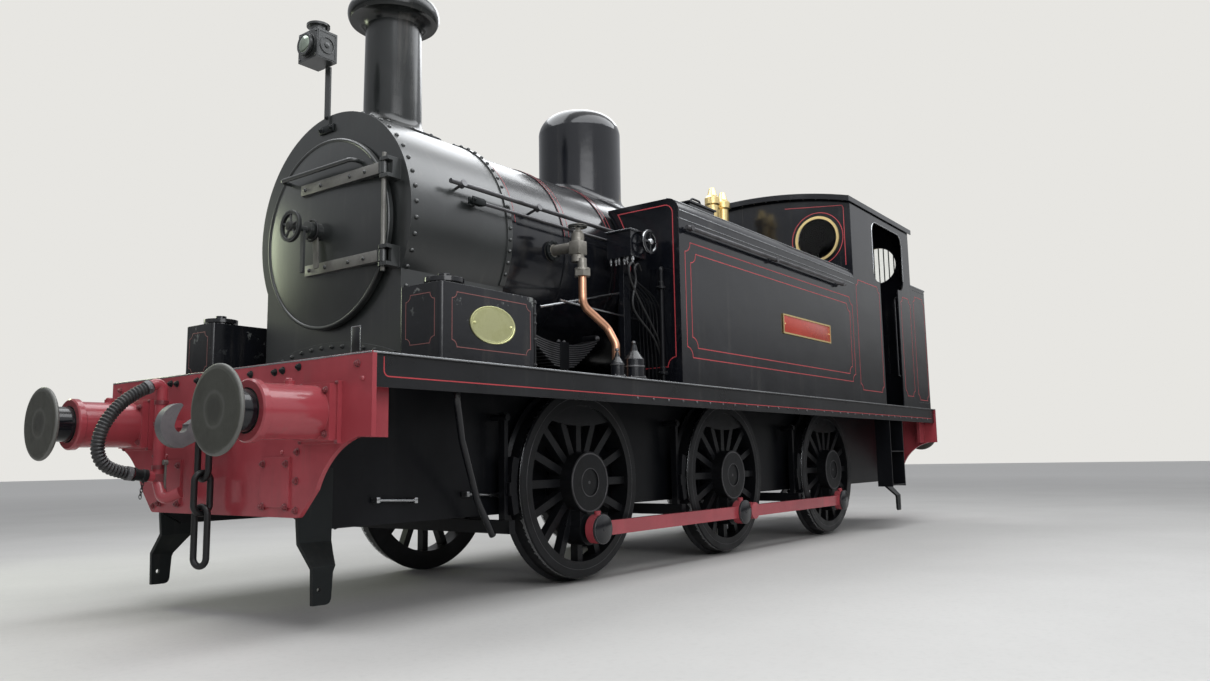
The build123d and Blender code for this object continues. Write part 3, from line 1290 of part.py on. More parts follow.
def wheel(x, side, pin_angle):
    """A spoked wheel with its tyre, crank boss, pin and balance weight."""
    centre = (x, 0, AXLE_HEIGHT)
    spoke_inset, spoke_lap = (45, 35), 15
    hub = ring(centre, "y", AXLE_RADIUS, HUB_RADIUS, WHEEL_INNER + 2, HUB_FACE)
    body = turned(tyre_face(), centre, "y") + hub
    spoke = slab(
        (-SPOKE_HALF, SPOKE_HALF),
        (WHEEL_INNER + spoke_inset[0], WHEEL_OUTER - spoke_inset[1]),
        (HUB_RADIUS - spoke_lap, RIM_INNER_RADIUS + spoke_lap),
    )
    for number in range(SPOKES):
        body = body + Pos(*centre) * Rot(0, 360 * number / SPOKES, 0) * spoke
    body = fused(body, *crank(centre, pin_angle))
    return body if side > 0 else mirrored(body)


def axle(x):
    """A straight axle whose ends show in the wheel hubs."""
    end, press_gap = HUB_FACE - 8, 0.1
    return drum((x, 0, AXLE_HEIGHT), "y", AXLE_RADIUS - press_gap, -end, end)


def coupling_rod(side, pin_angle):
    """A rod that joins the three crank pins on one side, with a knuckle and oil cups."""
    knuckle_behind, knuckle_radius, cup_radius, cup_span, recess = 210, 70, 22, (90, 118), 10
    z = AXLE_HEIGHT + CRANK_THROW * sin(radians(pin_angle))
    pins = [back(distance) + CRANK_THROW * cos(radians(pin_angle)) for distance in AXLE_BACK.values()]
    rod = slab(
        (pins[-1], pins[0]), (ROD_INNER + recess, ROD_OUTER - recess), (z - ROD_DEPTH / 2, z + ROD_DEPTH / 2)
    )
    for x in pins:
        rod = rod + drum((x, 0, z), "y", ROD_EYE_RADIUS, ROD_INNER, ROD_OUTER)
    rod = rod + drum((pins[1] - knuckle_behind, 0, z), "y", knuckle_radius, ROD_INNER, ROD_OUTER)
    for x in pins:
        rod = rod - drum((x, 0, z), "y", PIN_RADIUS + RUNNING_FIT, ROD_INNER - 1, ROD_OUTER + 1)
        rod = rod + drum((x, (ROD_INNER + ROD_OUTER) / 2, z), "z", cup_radius, *cup_span)
    return rod if side > 0 else mirrored(rod)


# Rails, rods, pipes and the lamp
HANDRAIL_Y = 765
HANDRAIL_Z = rail(2455)
HANDRAIL_FRONT = 960
HANDRAIL_POSTS = (1060, 1760, 2740)
RAIL_DIAMETER = 30
POST_DIAMETER = 26
KNOB_RADIUS = 23
TANK_RAIL_Y = 1280
TANK_RAIL_Z = rail(2450)
TANK_RAIL_POSTS = (2880, 4280, 5740)
CONTROL_ROD = (1140, 772, 2370)
CONTROL_ROD_DIAMETER = 22


def pillar(start, rail_centre):
    """A handrail pillar: a post with a round knob that holds the rail."""
    way = (Vector(*rail_centre) - Vector(*start)).normalized()
    knob_end = Vector(*rail_centre) + way * (KNOB_RADIUS * 0.8)
    knob_start = Vector(*rail_centre) - way * (KNOB_RADIUS * 0.8)
    post = bar(start, rail_centre, POST_DIAMETER * 0.7)
    return post + bar(tuple(knob_start), tuple(knob_end), 2 * KNOB_RADIUS)


def barrel_foot(x, y, z, radius):
    """The place on the barrel straight in from a point beside it, towards the barrel's axis."""
    rise = z - BOILER_AXIS
    share = radius / sqrt(y ** 2 + rise ** 2)
    return x, y * share, BOILER_AXIS + rise * share


def boiler_rail():
    """The left rail along smokebox and boiler, on pillars that stand square to the barrel."""
    y, z = HANDRAIL_Y, HANDRAIL_Z
    run = bar((back(TANK_FRONT) + 1, y, z), (back(HANDRAIL_FRONT), y, z), RAIL_DIAMETER)
    for distance in HANDRAIL_POSTS:
        x = back(distance)
        radius = SMOKEBOX_RADIUS if distance < SMOKEBOX_BACK else BOILER_RADIUS
        run = run + pillar(barrel_foot(x, y, z, radius), (x, y, z))
    return run


def tank_rail():
    """The left rail along the tank side."""
    margin, y, z = 60, TANK_RAIL_Y, TANK_RAIL_Z
    ends = (back(TANK_RAIL_POSTS[-1] + margin), back(TANK_RAIL_POSTS[0] - margin))
    run = bar((ends[0], y, z), (ends[1], y, z), RAIL_DIAMETER)
    for distance in TANK_RAIL_POSTS:
        run = run + pillar((back(distance), TANK_OUTER, z), (back(distance), y, z))
    return run


def handrails():
    """Rails on boiler and tanks, and the long control rod below the left boiler rail."""
    start, y, height = CONTROL_ROD
    z = rail(height)
    guide_x = back(start + 60)
    rod = bar((back(TANK_FRONT) + 1, y, z), (back(start), y, z), CONTROL_ROD_DIAMETER)
    guide_foot = barrel_foot(guide_x, y, z, SMOKEBOX_RADIUS)
    rod = rod + bar(guide_foot, (guide_x, y, z), 0.7 * CONTROL_ROD_DIAMETER)
    return [boiler_rail(), mirrored(boiler_rail()), tank_rail(), mirrored(tank_rail()), rod]


def head_lamp():
    """A lamp on its iron above the smokebox door."""
    front = back(SMOKEBOX_FRONT)
    iron_y, iron_top, iron_thick, iron_lap = (-80, -30), rail(3290), 12, 60
    body_x, body_y, body_top, lamp_y = (front + 14, front + 164), (-150, 40), rail(3480), -55
    lens_z, lens_radius, lens_long = rail(3385), 62, 26
    chimney_radius, chimney_top, lid_radius, lid_top = 55, rail(3530), 72, rail(3545)
    lamp_x = (body_x[0] + body_x[1]) / 2
    iron = slab((front, front + iron_thick), iron_y, (rail(2880), iron_top))
    iron = iron - drum((front, 0, BOILER_AXIS), "x", SMOKEBOX_RADIUS - iron_lap, -iron_thick, 2 * iron_thick)
    socket_x, socket_y = (front + iron_thick - 2, body_x[0] + 2), (iron_y[0] + 10, iron_y[1] - 10)
    return fused(
        iron,
        slab(socket_x, socket_y, (iron_top - 5, iron_top + 110)),
        slab(body_x, body_y, (iron_top, body_top)),
        drum((body_x[1], lamp_y, lens_z), "x", lens_radius, -2, lens_long),
        drum((lamp_x, lamp_y, 0), "z", chimney_radius, body_top - 2, chimney_top),
        drum((lamp_x, lamp_y, 0), "z", lid_radius, chimney_top, lid_top),
    )


LUBRICATOR_BACK = (2430, 2620)
LUBRICATOR_Y = (840, 1050)
LUBRICATOR_Z = (rail(2205), rail(2388))
CRANK_WHEEL_PLACE = (2590, 1105, 2322)
CRANK_WHEEL_RADIUS = 88
OIL_POTS = ((2100, 44, 1480), (2295, 70, 1546))
OIL_POT_Y = 1150


def lubricator():
    """Mechanical lubricator on its stand with its crank wheel, and the two oil pots before it."""
    lid_margin, lid_thick = 9, 12
    stand_back, stand_y, foot_margin, foot_top = (2480, 2560), (905, 945), 40, FOOTPLATE_TOP + 14
    distance, wheel_y, wheel_z = CRANK_WHEEL_PLACE
    rim_wide, rim_half, shaft_diameter, spoke_half = 16, 11, 26, 7
    low, top = LUBRICATOR_Z
    box_x = (back(LUBRICATOR_BACK[1]), back(LUBRICATOR_BACK[0]))
    stand_x = (back(stand_back[1]), back(stand_back[0]))
    x, z, radius = back(distance), rail(wheel_z), CRANK_WHEEL_RADIUS
    shaft_ends = (x, LUBRICATOR_Y[1] - 5, z), (x, wheel_y + rim_half, z)
    whole = fused(
        slab(box_x, LUBRICATOR_Y, (low, top)),
        slab(widened(box_x, lid_margin), widened(LUBRICATOR_Y, lid_margin), (top, top + lid_thick)),
        slab(stand_x, stand_y, (FOOTPLATE_TOP, low)),
        slab(widened(stand_x, foot_margin), widened(stand_y, foot_margin), (FOOTPLATE_TOP, foot_top)),
        bar(*shaft_ends, shaft_diameter),
        ring((x, wheel_y, z), "y", radius - rim_wide, radius, -rim_half, rim_half),
    )
    for half_x, half_z in ((radius - 4, spoke_half), (spoke_half, radius - 4)):
        spoke_y = (wheel_y - spoke_half, wheel_y + spoke_half)
        whole = whole + slab((x - half_x, x + half_x), spoke_y, (z - half_z, z + half_z))
    pieces = [whole]
    for pot_back, radius, top in OIL_POTS:
        height = rail(top) - FOOTPLATE_TOP
        face = polygon(
            (0, 0), (radius * 1.25, 0), (radius * 1.25, 12), (radius, 12), (radius, height * 0.58),
            (radius * 0.4, height * 0.82), (radius * 0.25, height), (0, height),
        )
        pieces.append(turned(face, (back(pot_back), OIL_POT_Y, FOOTPLATE_TOP), "z"))
    return pieces


FEED_BACK = 1950
FEED_Z = rail(2200)
FEED_BODY_Y = 950
NUT_Y = 985
NUT_SPAN = (rail(1995), rail(2040))
COPPER_DIAMETER = 55
COPPER_ROUTE = (
    (1950, 985, 1995),
    (1950, 985, 1795),
    (2160, 1030, 1660),
    (2185, 1080, 1550),
    (2185, 1080, 1307),
)


def feed_valve(side):
    """Clack valve on the boiler with its neck, body, handwheel and union nut, on one side."""
    x = back(FEED_BACK)
    flange_diameter, flange_long, neck_diameter, body_diameter, nut_diameter = 140, 24, 72, 86, 100
    body_span, stem_top, stem_diameter = (rail(2090), rail(2285)), rail(2345), 20
    wheel_z, wheel_inner, wheel_outer, wheel_half, spoke_half = rail(2335), 50, 64, 7, 6
    elbow_z, elbow_diameter = rail(2110), 62
    spoke_z = (wheel_z - spoke_half, wheel_z + spoke_half)
    y = side * FEED_BODY_Y
    surface = sqrt(BOILER_RADIUS ** 2 - (FEED_Z - BOILER_AXIS) ** 2)
    valve = fused(
        bar((x, side * (surface - 12), FEED_Z), (x, side * (surface + flange_long), FEED_Z), flange_diameter),
        bar((x, side * surface, FEED_Z), (x, y, FEED_Z), neck_diameter),
        bar((x, y, body_span[0]), (x, y, body_span[1]), body_diameter),
        bar((x, y, body_span[1]), (x, y, stem_top), stem_diameter),
        ring((x, y, wheel_z), "z", wheel_inner, wheel_outer, -wheel_half, wheel_half),
        slab((x - wheel_inner - 2, x + wheel_inner + 2), widened((y, y), spoke_half), spoke_z),
        bar((x, side * NUT_Y, NUT_SPAN[0] + 2), (x, side * NUT_Y, elbow_z), elbow_diameter),
        bar((x, side * NUT_Y, NUT_SPAN[0]), (x, side * NUT_Y, NUT_SPAN[1]), nut_diameter),
    )
    return valve - drum((x, 0, BOILER_AXIS), "x", BOILER_RADIUS + 0.2, -flange_diameter, flange_diameter)


def feed_pipe(side):
    """Copper delivery pipe from the clack valve down to the footplate."""
    points = [(back(distance), side * y, rail(height)) for distance, y, height in COPPER_ROUTE]
    points[0] = (points[0][0], points[0][1], points[0][2] - 0.5)
    return bent_pipe(points, [90, 90, 90], COPPER_DIAMETER)


# Build every node
save("frame_left", frame_plate())
save("frame_right", mirrored(frame_plate()))
save("frame_stays", *frame_stays())
save("cylinder_block", cylinder_block())
for end, sign in (("front", 1), ("rear", -1)):
    beam_x = sign * FRAME_LENGTH / 2
    save("buffer_beam_" + end, buffer_beam(beam_x, sign))
    save("buffer_housings_" + end, *(buffer_housing(beam_x, sign, side) for side in (1, -1)))
    save("buffer_heads_" + end, *(buffer_head(beam_x, sign, side) for side in (1, -1)))
    save("drawhook_" + end, drawhook(beam_x, sign))
    save("coupling_chain_" + end, *coupling_chain(beam_x, sign))
    save("guard_irons_" + end, *guard_irons(sign))
save("brake_pipes", brake_pipe(back(0), 1), brake_pipe(-back(0), -1))
save("brake_hose_front", brake_hose())
save("footplate_front", footplate(back(SMOKEBOX_BACK), back(BEAM_THICK)))
save("running_board_left", running_board())
save("running_board_right", mirrored(running_board()))
save("footplate_rear", footplate(back(FRAME_LENGTH - BEAM_THICK), back(CAB_FRONT) - 1))
save("cab_steps", cab_steps(), mirrored(cab_steps()))
save("smokebox", smokebox())
save("smokebox_door", smokebox_door())
save("chimney", chimney())
save("boiler", boiler())
save("dome", dome())
save("safety_valves", safety_valves())
save("tank_left", side_tank())
save("tank_right", mirrored(side_tank()))
save("tank_lid_left", tank_lid())
save("tank_lid_right", mirrored(tank_lid()))
save("sandbox_left", *sandbox())
save("sandbox_right", *(mirrored(piece) for piece in sandbox()))
save("cab_front", cab_front())
save("cab_back", cab_back())
save("cab_side_left", cab_side())
save("cab_side_right", mirrored(cab_side()))
save("cab_roof", cab_roof())
save("window_rims", *window_rims())
save("window_glass", *window_glass())
save("bunker", bunker())
save("backhead", backhead())
save("cab_controls", *cab_controls())
save("springs", *springs())
save("brake_gear", *brake_gear())
for place, distance in AXLE_BACK.items():
    x = back(distance)
    save("wheelset_" + place, wheel(x, 1, LEFT_PIN_ANGLE), axle(x), wheel(x, -1, RIGHT_PIN_ANGLE))
save("coupling_rod_left", coupling_rod(1, LEFT_PIN_ANGLE))
save("coupling_rod_right", coupling_rod(-1, RIGHT_PIN_ANGLE))
save("handrails", *handrails())
save("head_lamp", head_lamp())
save("lubricator", *lubricator())
save("feed_valves", feed_valve(1), feed_valve(-1))
save("feed_pipes", feed_pipe(1), feed_pipe(-1))

os.makedirs("parts", exist_ok=True)
for name, shapes in nodes.items():
    solids = [solid for shape in shapes for solid in shape.solids()]
    export_step(solids[0] if len(solids) == 1 else Compound(children=solids), f"parts/{name}.step")
print(len(nodes), "nodes")
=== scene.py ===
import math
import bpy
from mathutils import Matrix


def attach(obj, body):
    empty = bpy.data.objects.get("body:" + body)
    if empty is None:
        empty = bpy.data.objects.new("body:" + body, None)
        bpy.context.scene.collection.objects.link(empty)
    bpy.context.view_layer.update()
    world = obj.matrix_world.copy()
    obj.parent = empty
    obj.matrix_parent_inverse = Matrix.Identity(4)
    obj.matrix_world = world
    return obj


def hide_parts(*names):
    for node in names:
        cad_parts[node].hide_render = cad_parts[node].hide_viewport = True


bl_info = {
    "name": "Steam Tank Engine Dressing",
    "version": (1, 0, 0),
    "blender": (4, 5, 0),
    "location": "3D View > Sidebar > Tank Engine",
    "description": "Paints a six-coupled side-tank engine and adds its rivets, lining, pipes and plates",
    "category": "Object",
}

import bmesh
import bpy
from mathutils import Matrix, Vector

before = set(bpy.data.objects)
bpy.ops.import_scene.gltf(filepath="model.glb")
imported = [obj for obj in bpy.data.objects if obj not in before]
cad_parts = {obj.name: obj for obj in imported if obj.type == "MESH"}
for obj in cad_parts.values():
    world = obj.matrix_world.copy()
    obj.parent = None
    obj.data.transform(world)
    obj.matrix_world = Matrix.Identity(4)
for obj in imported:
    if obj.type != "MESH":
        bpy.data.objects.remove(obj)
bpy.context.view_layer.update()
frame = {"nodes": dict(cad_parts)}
NODES = frame["nodes"]
IMAGE_WIDTH = 1210
BEAM_FACE = 4.28
RAIL_TOP = 0.028
FORWARD, BACKWARD, UP, DOWN = (1, 0, 0), (-1, 0, 0), (0, 0, 1), (0, 0, -1)
SIDES = (1, -1)
ENDS = (("front", 1), ("rear", -1))


def back(distance):
    """X of a place so many metres behind the face of the front beam."""
    return BEAM_FACE - distance


def rail(height):
    """Z of a place so many metres above the top of the rail."""
    return height + RAIL_TOP


# Places shared by several pieces, in metres
FOOTPLATE_TOP = rail(1.307)
ON_FOOTPLATE = FOOTPLATE_TOP + 0.001
SIDE = 1.235
BOILER_AXIS = rail(2.232)
SMOKEBOX_RADIUS = 0.738
SMOKEBOX_FRONT = back(0.681)
BOILER_RADIUS = 0.72
TANK_FRONT = back(2.78)
CAB_FRONT = back(6.15)
CAB_BACK = back(7.95)
BUNKER_BACK = back(8.5)
AXLES = {"front": back(2.14), "middle": back(4.12), "rear": back(6.25)}
AXLE_HEIGHT = rail(0.628)
CRANK_THROW = 0.305
BUFFER_Y = 0.885
BUFFER_Z = rail(1.029)


# Sizes and colours that a user would change
def colour_setting(name, description, default):
    """A paint or metal colour for the property group."""
    return bpy.props.FloatVectorProperty(
        name=name, description=description, default=default, size=3, subtype="COLOR", min=0.0, max=1.0
    )


def length_setting(name, description, default):
    """A length in metres for the property group."""
    return bpy.props.FloatProperty(
        name=name, description=description, default=default, unit="LENGTH", min=0.0005, max=1.0
    )


class EngineColours(bpy.types.PropertyGroup):
    """Colours of paint and metal."""

    black: colour_setting("Body black", "Enamel of tanks, cab, boiler and dome", (0.0050, 0.0056, 0.0078))
    frame: colour_setting("Frame black", "Paint of frames, footplate and brake gear", (0.0042, 0.0046, 0.0058))
    smokebox: colour_setting("Smokebox grey", "Heat-resisting paint of smokebox and chimney", (0.013, 0.015, 0.0145))
    crimson: colour_setting("Crimson", "Beams, buffer housings and coupling rods", (0.325, 0.051, 0.063))
    lining: colour_setting("Lining red", "Thin lines on tanks, cab and sandboxes", (0.47, 0.052, 0.062))
    plate_red: colour_setting("Nameplate red", "Ground of the blank nameplates", (0.44, 0.055, 0.035))
    steel: colour_setting("Bright steel", "Edges, nuts and unions", (0.46, 0.47, 0.48))
    brass: colour_setting("Brass", "Window rims, safety valves and plates", (0.62, 0.47, 0.22))
    copper: colour_setting("Copper", "Delivery pipes", (0.72, 0.30, 0.17))
    dust: colour_setting("Dust", "What lies on ledges and in corners", (0.20, 0.185, 0.165))


class EngineSizes(bpy.types.PropertyGroup):
    """Sizes of the small fittings."""

    rivet: length_setting("Rivet head", "Radius of a rivet head on the smokebox", 0.0145)
    bolt: length_setting("Beam bolt", "Radius of a hexagon bolt on the beams", 0.0155)
    lining: length_setting("Lining width", "Width of the red lines", 0.0075)
    bead: length_setting("Bead radius", "Radius of half-round beading on tanks and bunker", 0.007)
    thin_pipe: length_setting("Thin pipe", "Radius of the oil pipes", 0.0055)


class EngineStage(bpy.types.PropertyGroup):
    """Floor, light and background."""

    floor: colour_setting("Floor", "Colour of the floor", (0.565, 0.552, 0.53))
    background: colour_setting("Background", "Colour that the camera sees behind", (0.80, 0.79, 0.76))
    overhead: bpy.props.FloatProperty(
        name="Roof lights", description="Power of each long lamp above", default=505.0, min=0.0, unit="POWER"
    )
    side: bpy.props.FloatProperty(
        name="Side light", description="Power of the lamp beside the camera", default=260.0, min=0.0, unit="POWER"
    )
    window: bpy.props.FloatProperty(
        name="Window light", description="Power of the lamp at the right side", default=26.0, min=0.0, unit="POWER"
    )


# Materials
def add_node(tree, kind, inputs, **settings):
    """A shader node with values or sockets on its inputs."""
    made = tree.nodes.new(kind)
    for key, value in settings.items():
        setattr(made, key, value)
    for key, value in (inputs or {}).items():
        if isinstance(value, bpy.types.NodeSocket):
            tree.links.new(value, made.inputs[key])
        else:
            made.inputs[key].default_value = value
    return made


class Finish:
    """A material whose nodes are joined up step by step."""

    def __init__(self, name, **constants):
        self.material = bpy.data.materials.new(name)
        self.material.use_nodes = True
        self.tree = self.material.node_tree
        self.tree.nodes.clear()
        sockets = {key.replace("_", " "): value for key, value in constants.items()}
        self.shader = self.add("ShaderNodeBsdfPrincipled", sockets)
        output = self.add("ShaderNodeOutputMaterial")
        self.tree.links.new(self.shader.outputs[0], output.inputs["Surface"])
        self.place = self.add("ShaderNodeTexCoord").outputs["Object"]
        self.normal = self.add("ShaderNodeNewGeometry").outputs["Normal"]
        self.rounded = self.add("ShaderNodeBevel", {"Radius": 0.003}, samples=4).outputs[0]

    def add(self, kind, inputs=None, **settings):
        """A node of this material."""
        return add_node(self.tree, kind, inputs, **settings)

    def noise(self, scale, detail, roughness=0.55, stretch=None, shift=0.0):
        """Clouds, or streaks where stretched."""
        place = self.place
        if stretch or shift:
            mapping = self.add("ShaderNodeMapping", {"Vector": place, "Location": (shift, shift, shift)})
            mapping.inputs["Scale"].default_value = stretch or (1.0, 1.0, 1.0)
            place = mapping.outputs[0]
        made = self.add(
            "ShaderNodeTexNoise", {"Vector": place, "Scale": scale, "Detail": detail, "Roughness": roughness}
        )
        return made.outputs[0]

    def share(self, value, low, high, to_low=0.0, to_high=1.0):
        """Value moved from one range to another, and held there."""
        made = self.add(
            "ShaderNodeMapRange",
            {"Value": value, "From Min": low, "From Max": high, "To Min": to_low, "To Max": to_high},
        )
        return made.outputs[0]

    def times(self, first, second):
        """Product of two values."""
        return self.add("ShaderNodeMath", {0: first, 1: second}, operation="MULTIPLY").outputs[0]

    def mixed(self, share, first, second):
        """One colour over another."""
        colours = [(*c, 1.0) if isinstance(c, (tuple, list)) and len(c) == 3 else c for c in (first, second)]
        made = self.add("ShaderNodeMix", {0: share, 6: colours[0], 7: colours[1]}, data_type="RGBA")
        return made.outputs[2]

    def facing_up(self):
        """One on level tops, nothing on walls."""
        height = self.add("ShaderNodeSeparateXYZ", {0: self.normal}).outputs[2]
        return self.share(height, 0.25, 0.95)

    def at_edges(self):
        """One where the surface turns sharply, nothing on flats and slow curves."""
        turn = self.add("ShaderNodeVectorMath", {0: self.normal, 1: self.rounded}, operation="DOT_PRODUCT")
        return self.share(turn.outputs["Value"], 0.80, 0.985, 1.0, 0.0)

    def height_share(self, low, high):
        """Nothing below one height, one above another."""
        height = self.add("ShaderNodeSeparateXYZ", {0: self.place}).outputs[2]
        return self.share(height, low, high)

    def relief(self, *layers):
        """Bump of several layers over rounded edges: height and distance of each."""
        normal = self.rounded
        for height, distance in layers:
            inputs = {"Height": height, "Distance": distance, "Strength": 1.0, "Normal": normal}
            normal = self.add("ShaderNodeBump", inputs).outputs[0]
        return normal

    def finish(self, colour, roughness, normal=None):
        """Joins the last sockets to the shader."""
        self.tree.links.new(colour, self.shader.inputs["Base Color"])
        self.tree.links.new(roughness, self.shader.inputs["Roughness"])
        if normal:
            self.tree.links.new(normal, self.shader.inputs["Normal"])
        return self.material


def lighter(colour, times, plus=0.0):
    """A paler or darker shade of a colour."""
    return tuple(min(1.0, part * times + plus) for part in colour)


def enamel(name, colour, dust, gloss, clouds, streaks, dusting, wave, chips=None, **constants):
    """Brush-painted enamel on sheet metal: cloudy wear, runs, rubbed edges, dust on ledges and a slow ripple."""
    paint = Finish(name, **constants)
    broad = paint.noise(1.7, 7.0, 0.62)
    fine = paint.noise(38.0, 5.0)
    runs = paint.noise(1.0, 5.0, 0.6, stretch=(13.0, 13.0, 0.9), shift=3.1)
    worn = paint.mixed(
        paint.times(paint.share(broad, 0.42, 0.72), clouds), tuple(colour), lighter(colour, 1.9, 0.004)
    )
    run_share = paint.times(paint.share(runs, 0.56, 0.74), paint.times(paint.share(broad, 0.35, 0.7), streaks))
    marked = paint.mixed(run_share, worn, lighter(dust, 0.4))
    rubbed = paint.times(paint.at_edges(), paint.share(fine, 0.35, 0.7, 0.1, 0.75))
    marked = paint.mixed(rubbed, marked, lighter(colour, 1.6, 0.045))
    if chips:
        flake = paint.times(paint.share(paint.noise(7.0, 6.0, 0.7, shift=chips[2]), 0.60, 0.64), 0.8)
        flake = paint.times(flake, paint.height_share(chips[0], chips[1]))
        marked = paint.mixed(flake, marked, (0.20, 0.21, 0.20))
    level = paint.times(paint.facing_up(), paint.share(fine, 0.3, 0.75, 0.4, 1.0))
    dusty = paint.mixed(paint.times(level, dusting), marked, tuple(dust))
    rough = paint.share(broad, 0.3, 0.75, gloss, gloss + 0.13)
    rough = paint.add(
        "ShaderNodeMath", {0: rough, 1: paint.times(level, 0.35 * dusting + 0.05)}, operation="ADD"
    ).outputs[0]
    normal = paint.relief(
        (paint.noise(1.6, 2.0, 0.4, shift=7.0), wave), (paint.noise(24.0, 2.0, shift=1.0), 0.00035),
        (paint.noise(220.0, 3.0), 0.00006),
    )
    return paint.finish(dusty, rough, normal)


def rough_metal(name, colour, dark, metallic, gloss, grain, depth):
    """Cast, forged or drawn metal with a skin of grime in its hollows."""
    metal = Finish(name, Metallic=metallic, Specular_IOR_Level=0.5 if metallic > 0.18 else 0.25)
    broad = metal.noise(6.0, 6.0, 0.6)
    skin = metal.noise(grain, 4.0, 0.6)
    grime = metal.share(broad, 0.42, 0.68, 0.0, 0.75)
    tone = metal.mixed(grime, tuple(colour), tuple(dark))
    speck = metal.mixed(metal.share(skin, 0.55, 0.8, 0.0, 0.45), tone, lighter(dark, 0.6))
    rough = metal.share(broad, 0.3, 0.7, gloss, gloss + 0.22)
    return metal.finish(speck, rough, metal.relief((skin, depth)))


def polished(name, colour, gloss, tarnish, patches=3.5):
    """Polished metal with tarnish that gathers in clouds and fine rubbing marks."""
    metal = Finish(name, Metallic=1.0)
    broad = metal.noise(patches, 6.0, 0.62)
    rubbed = metal.noise(1.0, 3.0, 0.5, stretch=(60.0, 60.0, 400.0))
    tone = metal.mixed(metal.share(broad, 0.45, 0.75, 0.0, 0.8), tuple(colour), tuple(tarnish))
    rough = metal.share(broad, 0.35, 0.75, gloss, gloss + 0.2)
    return metal.finish(tone, rough, metal.relief((rubbed, 0.00008), (metal.noise(30.0, 3.0), 0.0002)))


def buffer_face(name):
    """Dull steel of a buffer head, rubbed in rings round its middle, with a painted highlight round its rim."""
    metal = Finish(name, Metallic=0.35)
    across = metal.add("ShaderNodeVectorMath", {0: metal.place}, operation="ABSOLUTE").outputs[0]
    middle = metal.add("ShaderNodeVectorMath", {0: across, 1: (0.0, BUFFER_Y, BUFFER_Z)}, operation="SUBTRACT")
    flat = metal.add("ShaderNodeVectorMath", {0: middle.outputs[0], 1: (0.0, 1.0, 1.0)}, operation="MULTIPLY")
    reach = metal.add("ShaderNodeVectorMath", {0: flat.outputs[0]}, operation="LENGTH").outputs["Value"]
    wander = metal.times(metal.noise(9.0, 4.0), 0.022)
    reach = metal.add("ShaderNodeMath", {0: reach, 1: wander}, operation="ADD").outputs[0]
    grain = metal.noise(60.0, 4.0, 0.6)
    broad = metal.noise(6.0, 6.0, 0.6)
    tone = metal.mixed(metal.share(broad, 0.42, 0.7, 0.0, 0.7), (0.064, 0.066, 0.055), (0.038, 0.038, 0.031))
    tone = metal.mixed(metal.share(reach, 0.055, 0.075, 0.55, 0.0), tone, (0.030, 0.030, 0.026))
    ring = metal.times(metal.share(reach, 0.078, 0.086), metal.share(reach, 0.092, 0.104, 0.5, 0.0))
    tone = metal.mixed(ring, tone, (0.12, 0.12, 0.11))
    # Painted highlight: a thin pale line round the rim of the face
    edge = metal.share(reach, 0.202, 0.209, 0.0, 0.45)
    tone = metal.mixed(edge, tone, (0.22, 0.22, 0.21))
    return metal.finish(tone, metal.share(broad, 0.3, 0.7, 0.38, 0.6), metal.relief((grain, 0.0004)))


def clear_glass(name):
    """Window glass with a faint film of dust."""
    glass = Finish(name, Transmission_Weight=1.0, IOR=1.2)
    film = glass.noise(9.0, 5.0)
    colour = glass.mixed(glass.share(film, 0.45, 0.8, 0.0, 0.4), (0.95, 0.97, 0.96), (0.78, 0.80, 0.77))
    return glass.finish(colour, glass.share(film, 0.3, 0.8, 0.0, 0.05))


def ribbed_rubber(name):
    """Old black rubber, grey where it has rubbed."""
    rubber = Finish(name)
    broad = rubber.noise(14.0, 5.0)
    fine = rubber.noise(260.0, 3.0)
    colour = rubber.mixed(rubber.share(broad, 0.45, 0.75, 0.0, 0.6), (0.012, 0.012, 0.013), (0.055, 0.053, 0.050))
    return rubber.finish(colour, rubber.share(broad, 0.3, 0.8, 0.32, 0.55), rubber.relief((fine, 0.0002)))


def lining_paint(name, colour):
    """Thin hand-painted lines, a little uneven in strength."""
    line = Finish(name)
    wave = line.noise(11.0, 4.0)
    tone = line.mixed(line.share(wave, 0.4, 0.8, 0.0, 0.45), tuple(colour), lighter(colour, 0.55))
    return line.finish(tone, line.share(wave, 0.3, 0.8, 0.28, 0.45))


def floor_concrete(name, colour):
    """Pale trowelled floor with faint stains, and painted light that makes it paler further out."""
    floor = Finish(name)
    broad = floor.noise(0.55, 7.0, 0.6)
    fine = floor.noise(26.0, 6.0)
    tone = floor.mixed(floor.share(broad, 0.38, 0.7, 0.0, 0.55), tuple(colour), lighter(colour, 0.86))
    tone = floor.mixed(floor.share(fine, 0.5, 0.8, 0.0, 0.35), tone, lighter(colour, 0.78))
    # Painted light: the floor grows paler with distance from its middle
    reach = floor.add("ShaderNodeVectorMath", {0: floor.place}, operation="LENGTH").outputs["Value"]
    tone = floor.mixed(floor.share(reach, 8.0, 26.0), tone, lighter(colour, 1.6))
    return floor.finish(tone, floor.share(broad, 0.3, 0.7, 0.62, 0.8), floor.relief((fine, 0.0015)))


# Heights from 0 below to 1 above, and the shade that gloss shows there
MIRRORED_SKY = (
    (0.0, (0.07, 0.07, 0.07)), (0.515, (0.09, 0.09, 0.09)), (0.545, (0.28, 0.28, 0.28)), (0.58, (0.68, 0.69, 0.70)),
    (0.66, (0.84, 0.86, 0.90)), (0.80, (0.95, 0.97, 1.0)), (1.0, (1.0, 1.0, 1.0)),
)


